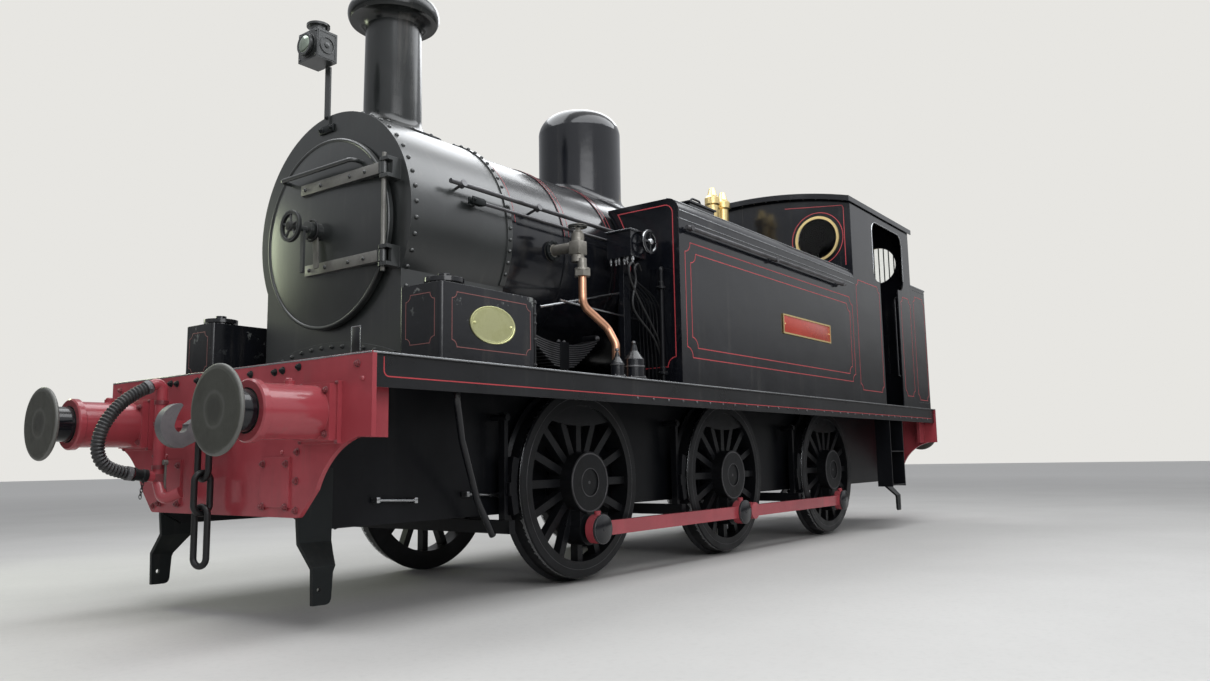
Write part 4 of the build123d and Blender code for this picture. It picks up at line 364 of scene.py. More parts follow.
def surroundings(colour, even_strength):
    """World with an even light, a plain colour behind, and a mirror image that is pale above and dark low down."""
    world = bpy.data.worlds.new("pale surroundings")
    bpy.context.scene.world = world
    world.use_nodes = True
    tree = world.node_tree
    tree.nodes.clear()

    def add(kind, inputs=None, **settings):
        return add_node(tree, kind, inputs, **settings)

    rays = add("ShaderNodeLightPath").outputs
    seen = add("ShaderNodeMath", {0: rays["Is Camera Ray"], 1: rays["Is Transmission Ray"]}, operation="MAXIMUM")
    parts = add("ShaderNodeSeparateXYZ", {0: add("ShaderNodeTexCoord").outputs["Generated"]})
    height = add("ShaderNodeMapRange", {"Value": parts.outputs[2], "From Min": -1.0, "From Max": 1.0})
    sky = add("ShaderNodeValToRGB", {0: height.outputs[0]})
    stops = sky.color_ramp.elements
    for number, (place, shade) in enumerate(MIRRORED_SKY):
        stop = stops[number] if number < 2 else stops.new(place)
        stop.position = place
        stop.color = (*shade, 1.0)
    left = add("ShaderNodeMapRange", {
        "Value": parts.outputs[1], "From Min": -0.8, "From Max": 0.4, "To Min": 0.5, "To Max": 1.0,
    })
    even = add("ShaderNodeBackground", {"Color": (0.86, 0.89, 0.94, 1.0), "Strength": even_strength})
    glossy = add("ShaderNodeBackground", {"Color": sky.outputs[0], "Strength": left.outputs[0]})
    shown = add("ShaderNodeBackground", {"Color": (*colour, 1.0), "Strength": 1.0})
    unseen = add("ShaderNodeMixShader", {0: rays["Is Glossy Ray"], 1: even.outputs[0], 2: glossy.outputs[0]})
    choice = add("ShaderNodeMixShader", {0: seen.outputs[0], 1: unseen.outputs[0], 2: shown.outputs[0]})
    add("ShaderNodeOutputWorld", {"Surface": choice.outputs[0]})


# Lines of points
def turns(count, start=0.0):
    """Angles evenly round a circle."""
    return [start + 2 * math.pi * number / count for number in range(count)]


def on_side(y, pairs):
    """Points on a plane that faces sideways, from (along, up) pairs."""
    return [(x, y, z) for x, z in pairs]


def on_front(x, pairs):
    """Points on a plane that faces forward, from (across, up) pairs."""
    return [(x, y, z) for y, z in pairs]


def mirrored(points):
    """The points and their mirror image on the engine's other side."""
    return ([Vector(p) for p in points], [Vector((p[0], -p[1], p[2])) for p in points])


def box_corners(low, high):
    """The four corners of an upright oblong, as pairs."""
    return [(low[0], low[1]), (high[0], low[1]), (high[0], high[1]), (low[0], high[1])]


def arc(centre, radius, start, end, steps):
    """Pairs along an arc between two angles in degrees."""
    angles = [math.radians(start + (end - start) * step / steps) for step in range(steps + 1)]
    return [(centre[0] + radius * math.cos(a), centre[1] + radius * math.sin(a)) for a in angles]


def notched(low, high, notch):
    """A lining panel whose corners are hollow, as (across, up) pairs."""
    (left, foot), (right, top) = low, high
    corners = (((right, foot), 180), ((right, top), 270), ((left, top), 360), ((left, foot), 90))
    return [pair for corner, start in corners for pair in arc(corner, notch, start, start - 90, 7)]


def eased(points, steps=6):
    """A smooth way through a pipe's corners."""
    points = [Vector(p) for p in points]
    ends = [2 * points[0] - points[1], *points, 2 * points[-1] - points[-2]]
    way = []
    for a, b, c, d in zip(ends, ends[1:], ends[2:], ends[3:]):
        for step in range(steps):
            t = step / steps
            way.append(
                0.5 * (2 * b + (c - a) * t + (2 * a - 5 * b + 4 * c - d) * t ** 2 + (3 * b - a - 3 * c + d) * t ** 3)
            )
    return [*way, points[-1]]


def circle(centre, normal, radius, steps, start=0.0, sweep=2 * math.pi):
    """Points round a circle, or along an arc of it."""
    normal = Vector(normal).normalized()
    across = Vector((0, 1, 0)) if abs(normal.x) > 0.5 else Vector((1, 0, 0))
    up = normal.cross(across)
    count = steps if sweep > 6.28 else steps + 1
    angles = [start + sweep * number / steps for number in range(count)]
    return [Vector(centre) + radius * (math.cos(a) * across + math.sin(a) * up) for a in angles]


# Mesh forms
class Form:
    """One mesh that gathers turned, swept and flat forms."""

    def __init__(self):
        self.mesh = bmesh.new()

    def corners(self, places):
        """New corners of the mesh at these places."""
        return [self.mesh.verts.new(place) for place in places]

    def skin(self, rings, closed=False, capped=False):
        """Faces between rings of corners, where a ring may be a single point, and over both ends if capped."""
        if capped:
            for ring in (rings[0], rings[-1]):
                self.mesh.faces.new(ring)
        pairs = list(zip(rings, rings[1:]))
        if closed:
            pairs.append((rings[-1], rings[0]))
        for low, high in pairs:
            for number in range(max(len(low), len(high))):
                corners = []
                for ring, offset in ((low, 0), (low, 1), (high, 1), (high, 0)):
                    corner = ring[(number + offset) % len(ring)]
                    if corner not in corners:
                        corners.append(corner)
                if len(corners) > 2:
                    self.mesh.faces.new(corners)

    def turned(self, place, axis, profile, sides, turn=0.0):
        """A form turned round an axis from (radius, distance along it) pairs."""
        axis = Vector(axis).normalized()
        across = axis.orthogonal().normalized()
        up = axis.cross(across)
        rings = []
        for radius, distance in profile:
            centre = Vector(place) + axis * distance
            angles = turns(sides, turn) if radius else (0.0,)
            rings.append(self.corners(centre + radius * (math.cos(a) * across + math.sin(a) * up) for a in angles))
        self.skin(rings)

    def ring(self, place, axis, inner, outer, start, end, sides=48):
        """A plain ring between two radii."""
        profile = ((inner, start), (outer, start), (outer, end), (inner, end), (inner, start))
        self.turned(place, axis, profile, sides)

    def rivet(self, place, axis, radius):
        """A snap-head rivet."""
        heights = ((1.0, -0.1), (1.0, 0.1), (0.9, 0.42), (0.62, 0.72), (0.3, 0.86), (0.0, 0.9))
        self.turned(place, axis, [(radius * r, radius * h) for r, h in heights], 12)

    def bolt(self, place, axis, radius, turn=0.3):
        """A hexagon head on its washer, with the bolt's end showing."""
        washer = ((1.3, -0.05), (1.3, 0.14), (1.22, 0.2), (0.0, 0.2))
        head = ((1.0, 0.15), (1.0, 0.82), (0.84, 0.98), (0.0, 0.98))
        shank = ((0.5, 0.9), (0.5, 1.3), (0.4, 1.4), (0.0, 1.4))
        for profile, sides in ((washer, 18), (head, 6), (shank, 10)):
            self.turned(place, axis, [(radius * r, radius * h) for r, h in profile], sides, turn)

    def swept(self, points, section, closed):
        """A section of (side, up) pairs carried along a way without twist."""
        points = [Vector(p) for p in points]
        count = len(points)
        rings, side = [], None
        for number, point in enumerate(points):
            before = points[number - 1] if number or closed else point
            after = points[(number + 1) % count] if number < count - 1 or closed else point
            ahead = (after - before).normalized()
            if side is None:
                side = ahead.orthogonal().normalized()
            side = (side - ahead * side.dot(ahead)).normalized()
            up = ahead.cross(side)
            rings.append(self.corners(point + side * s + up * u for s, u in section))
        self.skin(rings, closed, capped=not closed)

    def tube(self, points, radius, sides=10, closed=False):
        """A round bar or pipe along a way."""
        self.swept(points, [(radius * math.cos(a), radius * math.sin(a)) for a in turns(sides)], closed)

    def handwheel(self, centre, normal, radius, bar, spoke_reach, spoke_bar, start, sides=10):
        """A round rim with four spokes between two radii, the first one at an angle in degrees."""
        self.tube(circle(centre, normal, radius, 40), bar, sides, closed=True)
        inner, outer = (circle(centre, normal, reach, 4, math.radians(start)) for reach in spoke_reach)
        for ends in zip(inner, outer):
            self.tube(ends, spoke_bar, 8)

    def line(self, points, outward, width, lift=0.0008, closed=True):
        """A flat painted line or strip that lies on a surface."""
        points = [Vector(p) for p in points]
        count = len(points)
        rings = []
        for number, point in enumerate(points):
            before = points[number - 1] if number or closed else point
            after = points[(number + 1) % count] if number < count - 1 or closed else point
            up = Vector(outward(point) if callable(outward) else outward).normalized()
            first = (point - before).normalized() if before != point else (after - point).normalized()
            second = (after - point).normalized() if after != point else first
            ahead = (first + second).normalized()
            side = up.cross(ahead).normalized()
            stretch = 1.0 / max(0.5, side.dot(up.cross(first).normalized()))
            reach = side * (0.5 * width * stretch)
            rise = up * lift
            places = (point + reach + rise, point - reach + rise, point - reach - rise, point + reach - rise)
            rings.append(self.corners(places))
        self.skin(rings, closed, capped=not closed)

    def block(self, low, high, edge=0.002):
        """A block with broken edges between two opposite corners."""
        low, high = Vector(map(min, low, high)), Vector(map(max, low, high))
        made = bmesh.ops.create_cube(self.mesh, size=1.0)["verts"]
        bmesh.ops.scale(self.mesh, vec=high - low, verts=made)
        bmesh.ops.translate(self.mesh, vec=(low + high) / 2, verts=made)
        edges = list({e for v in made for e in v.link_edges})
        bmesh.ops.bevel(self.mesh, geom=edges, offset=edge, segments=2, profile=0.5, affect="EDGES")

    def save(self, name, material, slot, body="engine", sharp=35.0):
        """The finished piece, which rides on a body of the engine."""
        bmesh.ops.remove_doubles(self.mesh, verts=self.mesh.verts, dist=1e-6)
        bmesh.ops.recalc_face_normals(self.mesh, faces=self.mesh.faces)
        data = bpy.data.meshes.new(name)
        self.mesh.to_mesh(data)
        self.mesh.free()
        data.polygons.foreach_set("use_smooth", [True] * len(data.polygons))
        data.set_sharp_from_angle(angle=math.radians(sharp))
        data.materials.append(bpy.data.materials[material])
        piece = bpy.data.objects.new(name, data)
        bpy.context.scene.collection.objects.link(piece)
        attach(piece, body)
        return piece


def sizes():
    """The sizes of the small fittings."""
    return bpy.context.scene.engine_sizes


# Materials of the modelled nodes
NODE_FINISHES = {
    "black enamel": (
        "boiler", "dome", "tank_left", "tank_right", "tank_lid_left", "tank_lid_right", "cab_front", "cab_back",
        "cab_side_left", "cab_side_right", "cab_roof", "bunker", "lubricator",
    ),
    "sandbox black": ("sandbox_left", "sandbox_right"),
    "footplate black": ("footplate_front", "footplate_rear", "running_board_left", "running_board_right"),
    "frame black": ("frame_left", "frame_right", "frame_stays", "cylinder_block", "cab_steps", "brake_gear", "springs"),
    "gunmetal": ("feed_valves",),
    "chain iron": ("coupling_chain_front", "coupling_chain_rear"),
    "smokebox grey": ("smokebox", "smokebox_door", "head_lamp"),
    "chimney black": ("chimney",),
    "crimson enamel": (
        "buffer_beam_front", "buffer_beam_rear", "buffer_housings_front", "buffer_housings_rear", "brake_pipes",
        "coupling_rod_left", "coupling_rod_right",
    ),
    "dull buffer steel": ("buffer_heads_front", "buffer_heads_rear"),
    "forged hook steel": ("drawhook_front", "drawhook_rear"),
    "guard black": ("guard_irons_front", "guard_irons_rear"),
    "wheel iron": ("wheelset_front", "wheelset_middle", "wheelset_rear"),
    "rail steel": ("handrails", "cab_controls"),
    "brass": ("safety_valves", "window_rims"),
    "copper": ("feed_pipes",),
    "window glass": ("window_glass",),
    "boiler end black": ("backhead",),
    "ribbed rubber": ("brake_hose_front",),
}


class ENGINE_OT_paint(bpy.types.Operator):
    """Mix the paints and metals and give each modelled node its own"""

    bl_idname = "engine.paint"
    bl_label = "Paint and Metals"

    def execute(self, context):
        colours = context.scene.engine_colours
        dust = tuple(colours.dust)
        # Enamel: colour, dust, gloss, clouds, streaks, dusting, wave and chips
        enamel("black enamel", colours.black, dust, 0.09, 0.5, 0.45, 0.14, 0.005)
        enamel("sandbox black", colours.black, dust, 0.10, 0.6, 0.5, 0.2, 0.004, (1.52, 1.68, 4.6))
        enamel("frame black", colours.frame, dust, 0.28, 0.5, 0.12, 0.06, 0.002, Specular_IOR_Level=0.16)
        enamel("footplate black", colours.frame, dust, 0.24, 0.6, 0.3, 0.25, 0.002)
        enamel(
            "smokebox grey", colours.smokebox, dust, 0.28, 0.6, 0.35, 0.10, 0.002, Coat_Weight=0.6, Coat_Roughness=0.27
        )
        enamel("chimney black", lighter(colours.smokebox, 0.6), dust, 0.15, 0.6, 0.9, 0.1, 0.003)
        enamel("crimson enamel", colours.crimson, dust, 0.11, 0.45, 0.55, 0.12, 0.003)
        enamel("crimson bolts", lighter(colours.crimson, 0.45), dust, 0.3, 0.6, 0.3, 0.1, 0.0)
        enamel("guard black", (0.0055, 0.0072, 0.0076), dust, 0.36, 0.6, 0.25, 0.08, 0.001, Specular_IOR_Level=0.2)
        enamel("boiler end black", (0.03, 0.03, 0.03), dust, 0.35, 0.6, 0.3, 0.2, 0.002)
        enamel("nameplate red", colours.plate_red, dust, 0.25, 0.3, 0.2, 0.1, 0.0)
        enamel("dial white", (0.62, 0.61, 0.56), dust, 0.2, 0.1, 0.0, 0.0, 0.0)
        buffer_face("dull buffer steel")
        # Rough metal: colour, colour of the grime, metallic, gloss, grain and depth
        rough_metal("forged hook steel", (0.135, 0.135, 0.140), (0.070, 0.068, 0.070), 0.25, 0.42, 70.0, 0.0009)
        rough_metal("chain iron", (0.0085, 0.0088, 0.0095), (0.0045, 0.0045, 0.0045), 0.2, 0.34, 70.0, 0.0009)
        rough_metal("wheel iron", (0.0080, 0.0085, 0.0100), (0.0040, 0.0040, 0.0040), 0.15, 0.27, 55.0, 0.0007)
        rough_metal("spring steel", (0.16, 0.16, 0.165), (0.06, 0.06, 0.06), 0.7, 0.26, 60.0, 0.0004)
        rough_metal("gunmetal", (0.27, 0.255, 0.225), (0.10, 0.09, 0.075), 0.6, 0.34, 60.0, 0.0006)
        rough_metal("rail steel", (0.115, 0.113, 0.118), (0.045, 0.043, 0.045), 0.7, 0.28, 120.0, 0.0002)
        rough_metal("strap steel", (0.20, 0.195, 0.180), (0.11, 0.105, 0.095), 0.45, 0.42, 80.0, 0.0005)
        rough_metal("dull rivets", (0.12, 0.12, 0.125), (0.02, 0.02, 0.02), 0.6, 0.25, 40.0, 0.0002)
        # Polished metal: colour, gloss, tarnish and size of its clouds
        polished("bright steel", colours.steel, 0.16, lighter(colours.steel, 0.35))
        polished("brass", colours.brass, 0.16, lighter(colours.brass, 0.5))
        polished("plate brass", (0.60, 0.60, 0.33), 0.3, (0.42, 0.42, 0.20), 9.0)
        polished("lens glass", (0.42, 0.48, 0.40), 0.06, (0.20, 0.24, 0.19), 12.0)
        polished("copper", colours.copper, 0.2, lighter(colours.copper, 0.45), 5.0)
        clear_glass("window glass")
        ribbed_rubber("ribbed rubber")
        lining_paint("lining red", colours.lining)
        lining_paint("faded lining", (0.24, 0.085, 0.080))
        for finish, names in NODE_FINISHES.items():
            for name in names:
                data = NODES[name].data
                data.materials.clear()
                data.materials.append(bpy.data.materials[finish])
        return {"FINISHED"}


# Brake hose
HOSE_POINTS = (
    (4.460, -0.42, 1.260), (4.566, -0.42, 1.207), (4.665, -0.42, 1.113), (4.730, -0.42, 0.993),
    (4.735, -0.42, 0.873), (4.665, -0.42, 0.793), (4.542, -0.42, 0.773),
)
HOSE_LENGTH, HOSE_RADIUS, HOSE_SIDES = 0.73, 0.036, 24
RIB_COUNT, RIB_STEPS, RIB_DEPTH = 38, 8, 0.0062
CLIP_INSET = 0.022
CLIP_BAND = ((0.034, -0.013), (0.0385, -0.013), (0.0385, 0.013), (0.034, 0.013), (0.034, -0.013))
CLIP_SCREW = Vector((0, 0.040, -0.012))
COUPLING_AIM = (0.142, 0, 0.023)
COUPLING_PROFILE = (
    (0.029, -0.078), (0.035, -0.078), (0.035, -0.054), (0.0312, -0.050), (0.0312, -0.016),
    (0.0372, -0.013), (0.0372, -0.001), (0.0, -0.001),
)
CHAIN_TOP, CHAIN_STEP, CHAIN_LINKS = Vector((4.50, -0.385, 0.735)), Vector((0.003, 0.001, -0.017)), 6
LINK_HALF_WIDTH, LINK_HALF_LENGTH, LINK_WIRE = 0.007, 0.013, 0.0021


def hose_route():
    """Points along the hose's own spline."""
    data = bpy.data.curves.new("hose route", "CURVE")
    data.dimensions = "3D"
    data.resolution_u = 24
    spline = data.splines.new("NURBS")
    spline.points.add(len(HOSE_POINTS) - 1)
    for point, place in zip(spline.points, HOSE_POINTS):
        point.co = (*place, 1.0)
    spline.order_u = 3
    spline.use_endpoint_u = True
    holder = bpy.data.objects.new("hose route", data)
    bpy.context.scene.collection.objects.link(holder)
    mesh = bpy.data.meshes.new_from_object(holder)
    way = [v.co.copy() for v in mesh.vertices]
    bpy.data.objects.remove(holder)
    bpy.data.meshes.remove(mesh)
    bpy.data.curves.remove(data)
    return way


def along(way, distance):
    """The place and direction so far along a way."""
    for first, second in zip(way, way[1:]):
        run = (second - first).length
        if distance <= run:
            return first.lerp(second, distance / run), (second - first).normalized()
        distance -= run
    return way[-1], (way[-1] - way[-2]).normalized()


class ENGINE_OT_brake_hose(bpy.types.Operator):
    """Hang the ribbed brake hose with its clips and the plug's small chain"""

    bl_idname = "engine.brake_hose"
    bl_label = "Brake Hose"

    def execute(self, context):
        way = hose_route()
        total = sum((b - a).length for a, b in zip(way, way[1:]))
        hose = Form()
        rings, steps = [], RIB_COUNT * RIB_STEPS
        for number in range(steps + 1):
            place, ahead = along(way, total * number / steps)
            crest = 0.5 - 0.5 * math.cos(2 * math.pi * (number % RIB_STEPS) / RIB_STEPS)
            radius = HOSE_RADIUS - RIB_DEPTH * (1 - crest ** 0.6)
            side = Vector((0, 1, 0))
            up = ahead.cross(side)
            rings.append(hose.corners(
                place + radius * (math.cos(a) * side + math.sin(a) * up) for a in turns(HOSE_SIDES)
            ))
        hose.skin(rings, capped=True)
        tube = hose.save("brake_hose", "ribbed rubber", "hose_rubber", sharp=60.0)
        clips = Form()
        for distance in (CLIP_INSET, total - CLIP_INSET):
            place, ahead = along(way, distance)
            clips.turned(place, ahead, CLIP_BAND, 28)
            clips.bolt(place + CLIP_SCREW, UP, 0.007)
        bands = clips.save("hose_clips", "forged hook steel", "hook_steel")
        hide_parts("brake_hose_front")
        coupling = Form()
        coupling.turned(HOSE_POINTS[-1], COUPLING_AIM, COUPLING_PROFILE, 32)
        coupling.save("hose_coupling", "guard black", "guard_black")
        chain = Form()
        for number in range(CHAIN_LINKS):
            flat = number % 2
            across = LINK_HALF_WIDTH * Vector((flat, 1 - flat, 0))
            link = [
                CHAIN_TOP + CHAIN_STEP * number + math.cos(a) * across + Vector((0, 0, LINK_HALF_LENGTH * math.sin(a)))
                for a in turns(14)
            ]
            chain.tube(link, LINK_WIRE, 6, closed=True)
        chain.save("plug_chain", "chain iron", "guard_black")
        return {"FINISHED"}


# Beams and buffers: bolts and rivets as (across, up)
BEAM_NUTS = ((0.264, 1.288), (0.481, 1.284), (0.550, 1.289), (0.686, 1.297))
BEAM_BOLTS = ((0.690, 0.872), (0.686, 0.729), (0.688, 0.584), (1.149, 1.281))
BEAM_RIVETS = ((1.188, 1.209), (0.971, 1.194), (0.564, 0.872))
PATCH_BOLTS = ((0.415, 0.815), (0.613, 0.815), (0.415, 0.600), (0.613, 0.600))
PATCH_FACE = BEAM_FACE + 0.010
HOOK_PLATE_FACE, HOOK_PLATE_HEIGHT = BEAM_FACE + 0.020, rail(1.0)
# Corner bolts of a buffer housing: reach from its middle, face, share of a beam bolt
HOUSING_BOLTS = ((0.104, BEAM_FACE + 0.060, 0.9), (0.141, BEAM_FACE + 0.024, 0.5))
OIL_CUP_X, OIL_CUP_RISE = BEAM_FACE + 0.190, 0.148
OIL_CUP_LID = ((0.019, -0.002), (0.019, 0.007), (0.013, 0.012), (0.0, 0.012))
# A plunger's sleeve and its ring of grease: inner and outer radius, start and end from the housing's mouth
HOUSING_MOUTH = 4.690
PLUNGER_SLEEVE = (0.0980, 0.0988, 0.0, 0.091)
GREASE_RING = (0.0990, 0.1046, -0.016, -0.006)


class ENGINE_OT_beam_bolts(bpy.types.Operator):
    """Set bolts and rivets on both beams and the corners of the buffer housings"""

    bl_idname = "engine.beam_bolts"
    bl_label = "Beam Bolts"

    def execute(self, context):
        radius = sizes().bolt
        for end, sign in ENDS:
            dark, painted, rivets = Form(), Form(), Form()
            axis = (sign, 0, 0)
            for side in SIDES:
                for form, face, places, step in (
                    (dark, BEAM_FACE, BEAM_NUTS, 0.37), (painted, BEAM_FACE, BEAM_BOLTS, 0.41),
                    (painted, PATCH_FACE, PATCH_BOLTS, 0.29),
                ):
                    for number, (y, z) in enumerate(places):
                        form.bolt((sign * face, side * y, z), axis, radius, step * number)
                for y, z in BEAM_RIVETS:
                    rivets.rivet((sign * BEAM_FACE, side * y, z), axis, 0.8 * radius)
                for reach, face, share in HOUSING_BOLTS:
                    for dy in (-reach, reach):
                        for dz in (-reach, reach):
                            place = (sign * face, side * (BUFFER_Y + dy), BUFFER_Z + dz)
                            painted.bolt(place, axis, share * radius, dy + dz)
                rivets.turned((sign * OIL_CUP_X, side * BUFFER_Y, BUFFER_Z + OIL_CUP_RISE), UP, OIL_CUP_LID, 6)
            for dy in (-0.085, 0.085):
                for dz in (-0.09, 0.09):
                    painted.bolt((sign * HOOK_PLATE_FACE, dy, HOOK_PLATE_HEIGHT + dz), axis, 0.85 * radius)
            dark.save("beam_nuts_" + end, "guard black", "guard_black")
            painted.save("beam_bolts_" + end, "crimson bolts", "red_paint")
            rivets.save("beam_rivets_" + end, "crimson enamel", "red_paint")
        return {"FINISHED"}


class ENGINE_OT_buffer_plungers(bpy.types.Operator):
    """Sleeve the plungers and grease the mouths of their housings"""

    bl_idname = "engine.buffer_plungers"
    bl_label = "Buffer Plungers"

    def execute(self, context):
        for end, sign in ENDS:
            sleeves, rings = Form(), Form()
            for side in SIDES:
                mouth = (sign * HOUSING_MOUTH, side * BUFFER_Y, BUFFER_Z)
                sleeves.ring(mouth, (sign, 0, 0), *PLUNGER_SLEEVE)
                rings.ring(mouth, (sign, 0, 0), *GREASE_RING)
            sleeves.save("buffer_plungers_" + end, "black enamel", "gloss_black")
            rings.save("buffer_grease_rings_" + end, "chain iron", "chain_iron")
        return {"FINISHED"}


# Brake standpipes
PIPE_X, PIPE_Y, PIPE_RADIUS = 4.40, 0.42, 0.0312
PIPE_CLIP_HEIGHTS = (rail(1.02), rail(1.14), rail(0.78))
PIPE_NUT_HEIGHT, COCK_HEIGHT = rail(1.04), rail(0.700)
LEVER_AHEAD, LEVER_OUT, LEVER_SPAN = 0.012, 0.052, (rail(0.66), rail(0.80))
LEVER_KNOB = ((0.0, 0.0), (0.015, 0.0), (0.015, 0.022), (0.0, 0.026))


class ENGINE_OT_brake_pipe_fittings(bpy.types.Operator):
    """Add the pipe clips, their nuts and the cock lever of both standpipes"""

    bl_idname = "engine.brake_pipe_fittings"
    bl_label = "Brake Pipe Fittings"

    def execute(self, context):
        for end, sign in ENDS:
            clips, lever = Form(), Form()
            x, y = sign * PIPE_X, -sign * PIPE_Y
            for z in PIPE_CLIP_HEIGHTS:
                clips.ring((x, y, z - 0.011), UP, PIPE_RADIUS, 0.0365, 0.0, 0.022, 32)
            for dy in (-0.033, 0.033):
                clips.bolt((x, y + dy, PIPE_NUT_HEIGHT), UP, 0.010, dy)
            clips.ring((x, y, COCK_HEIGHT), UP, PIPE_RADIUS, 0.042, 0.0, 0.042, 6)
            lever_x, lever_y = x - LEVER_AHEAD * sign, y + LEVER_OUT * sign
            low, high = LEVER_SPAN
            lever.block((lever_x - 0.004, lever_y - 0.009, low), (lever_x + 0.004, lever_y + 0.009, high))
            lever.turned((x - 0.02 * sign, lever_y, high + 0.005), (sign, 0, 0), LEVER_KNOB, 16)
            clips.save("brake_pipe_clips_" + end, "crimson bolts", "red_paint")
            lever.save("brake_pipe_lever_" + end, "strap steel", "bright_steel")
        return {"FINISHED"}


# Wheels: the turned rings as face, inner and outer radius, start and end from the face, sides
HUB_FACE, RIM_FACE, TREAD_START, PIN_FACE = 0.880, 0.820, 0.725, 0.969
WHEEL_RINGS = (
    (HUB_FACE, 0.187, 0.196, -0.002, 0.0012, 96),
    (HUB_FACE, 0.0902, 0.096, -0.004, 0.0014, 72),
    (RIM_FACE, 0.5705, 0.5735, -0.001, 0.0007, 128),
)
TREAD = (0.626, 0.6283, 0.0, 0.085, 160)
AXLE_MARK_FACE, AXLE_MARK = 0.872, ((0.011, -0.001), (0.011, 0.001), (0.0, 0.001))
PIN_RING = (0.0915, 0.0972, 0.003, 0.0178, 64)
PIN_CAP = ((0.050, 0.0), (0.096, 0.0), (0.096, 0.016), (0.086, 0.0225), (0.0, 0.0225))
PIN_CENTRE = ((0.012, 0.02), (0.012, 0.026), (0.0, 0.026))
# Crank pins from the axle as (ahead, up), the right one a quarter turn on
PIN_PLACES = {1: (0.0, -CRANK_THROW), -1: (CRANK_THROW, 0.0)}


class ENGINE_OT_wheel_fittings(bpy.types.Operator):
    """Turn bright rings on the hubs, mark the tyre joints, polish the treads and cap the crank pins"""

    bl_idname = "engine.wheel_fittings"
    bl_label = "Wheel Fittings"

    def execute(self, context):
        for name, x in AXLES.items():
            rings, treads, caps = Form(), Form(), Form()
            for side in SIDES:
                axis = (0, side, 0)
                for face, *ring in WHEEL_RINGS:
                    rings.ring((x, side * face, AXLE_HEIGHT), axis, *ring)
                rings.turned((x, side * AXLE_MARK_FACE, AXLE_HEIGHT), axis, AXLE_MARK, 20)
                treads.ring((x, side * TREAD_START, AXLE_HEIGHT), axis, *TREAD)
                dx, dz = PIN_PLACES[side]
                pin = (x + dx, side * PIN_FACE, AXLE_HEIGHT + dz)
                caps.turned(pin, axis, PIN_CAP, 48)
                caps.turned(pin, axis, PIN_CENTRE, 12)
                rings.ring(pin, axis, *PIN_RING)
            body = name + "_wheelset"
            rings.save("turned_rings_" + name, "rail steel", "bright_steel", body)
            treads.save("polished_treads_" + name, "bright steel", "bright_steel", body)
            caps.save("crank_pin_caps_" + name, "black enamel", "gloss_black", body)
        return {"FINISHED"}


# Springs: a leaf's section as (across, up), and the top of each pack
LEAF_SECTION = (
    (0.0630, -0.0030), (0.0630, 0.0020), (0.0605, 0.0045), (-0.0605, 0.0045),
    (-0.0630, 0.0020), (-0.0630, -0.0030), (-0.0605, -0.0050), (0.0605, -0.0050),
)
LEAF_CAMBER, LEAF_THICK, LEAF_COUNT, LEAF_STEPS = 1.150, 0.015, 11, 10
LONGEST_LEAF, LEAF_SHORTER = 0.41, 0.03
SPRING_MIDDLE = 0.6065
PACK_TOPS = {"front": 1.608, "middle": 0.366, "rear": 0.366}


class ENGINE_OT_spring_leaves(bpy.types.Operator):
    """Show the leaves of the springs one by one, with the nuts of the front pair"""

    bl_idname = "engine.spring_leaves"
    bl_label = "Spring Leaves"

    def execute(self, context):
        leaves, nuts = Form(), Form()
        for name, pack_top in PACK_TOPS.items():
            x = AXLES[name]
            for side in SIDES:
                middle = Vector((x, side * SPRING_MIDDLE, pack_top + LEAF_CAMBER))
                for number in range(LEAF_COUNT):
                    radius = LEAF_CAMBER + LEAF_THICK * (number + 0.5)
                    reach = math.asin((LONGEST_LEAF - LEAF_SHORTER * number) / radius)
                    rings = []
                    for step in range(-LEAF_STEPS, LEAF_STEPS + 1):
                        angle = reach * step / LEAF_STEPS
                        out = Vector((math.sin(angle), 0, -math.cos(angle)))
                        rings.append(leaves.corners(
                            middle + Vector((0, across, 0)) + (radius + thick) * out for across, thick in LEAF_SECTION
                        ))
                    leaves.skin(rings, capped=True)
                if name == "front":
                    for dx in (-0.384, 0.384):
                        nuts.bolt((x + dx, side * 0.668, pack_top + 0.0756), (0, side, 0), 0.015)
                    for dx in (-0.03, 0.03):
                        nuts.bolt((x + dx, side * 0.642, pack_top + 0.014), UP, 0.013)
        leaves.save("spring_leaves", "spring steel", "bright_steel")
        nuts.save("spring_nuts", "spring steel", "bright_steel")
        return {"FINISHED"}


# Feed valves
VALVE_X, VALVE_Y, ELBOW_Y, VALVE_WHEEL_Z = 2.33, 0.950, 0.985, 2.363
FLANGE_Y, FLANGE_Z = 0.743, 2.228
GLAND_NUT = ((0.036, 0.0), (0.036, 0.022), (0.020, 0.030), (0.020, 0.046))
WHEEL_HUB = ((0.014, 0.0), (0.016, 0.022), (0.008, 0.034), (0.0, 0.034))
# Union nut and collar on the elbow: height, inner and outer radius, start, end and sides
ELBOW_RINGS = ((2.016, 0.030, 0.0575, 0.0, 0.040, 6), (2.054, 0.030, 0.053, 0.0, 0.016, 40))
VALVE_HALF_WIDTH, VALVE_FOOT, VALVE_TOP, GLAND_Z = 0.046, 2.165, 2.262, 2.306
FLANGE_RING, FLANGE_BOLTS, FLANGE_BOLT_REACH, FLANGE_BOLT = (0.044, 0.0712, -0.020, 0.0015), 6, 0.055, 0.0095
# Handwheel: radius, bar, reach and bar of its spokes, and angle of the first
VALVE_WHEEL = (0.057, 0.0088, (0.0, 0.056), 0.0058, 45)
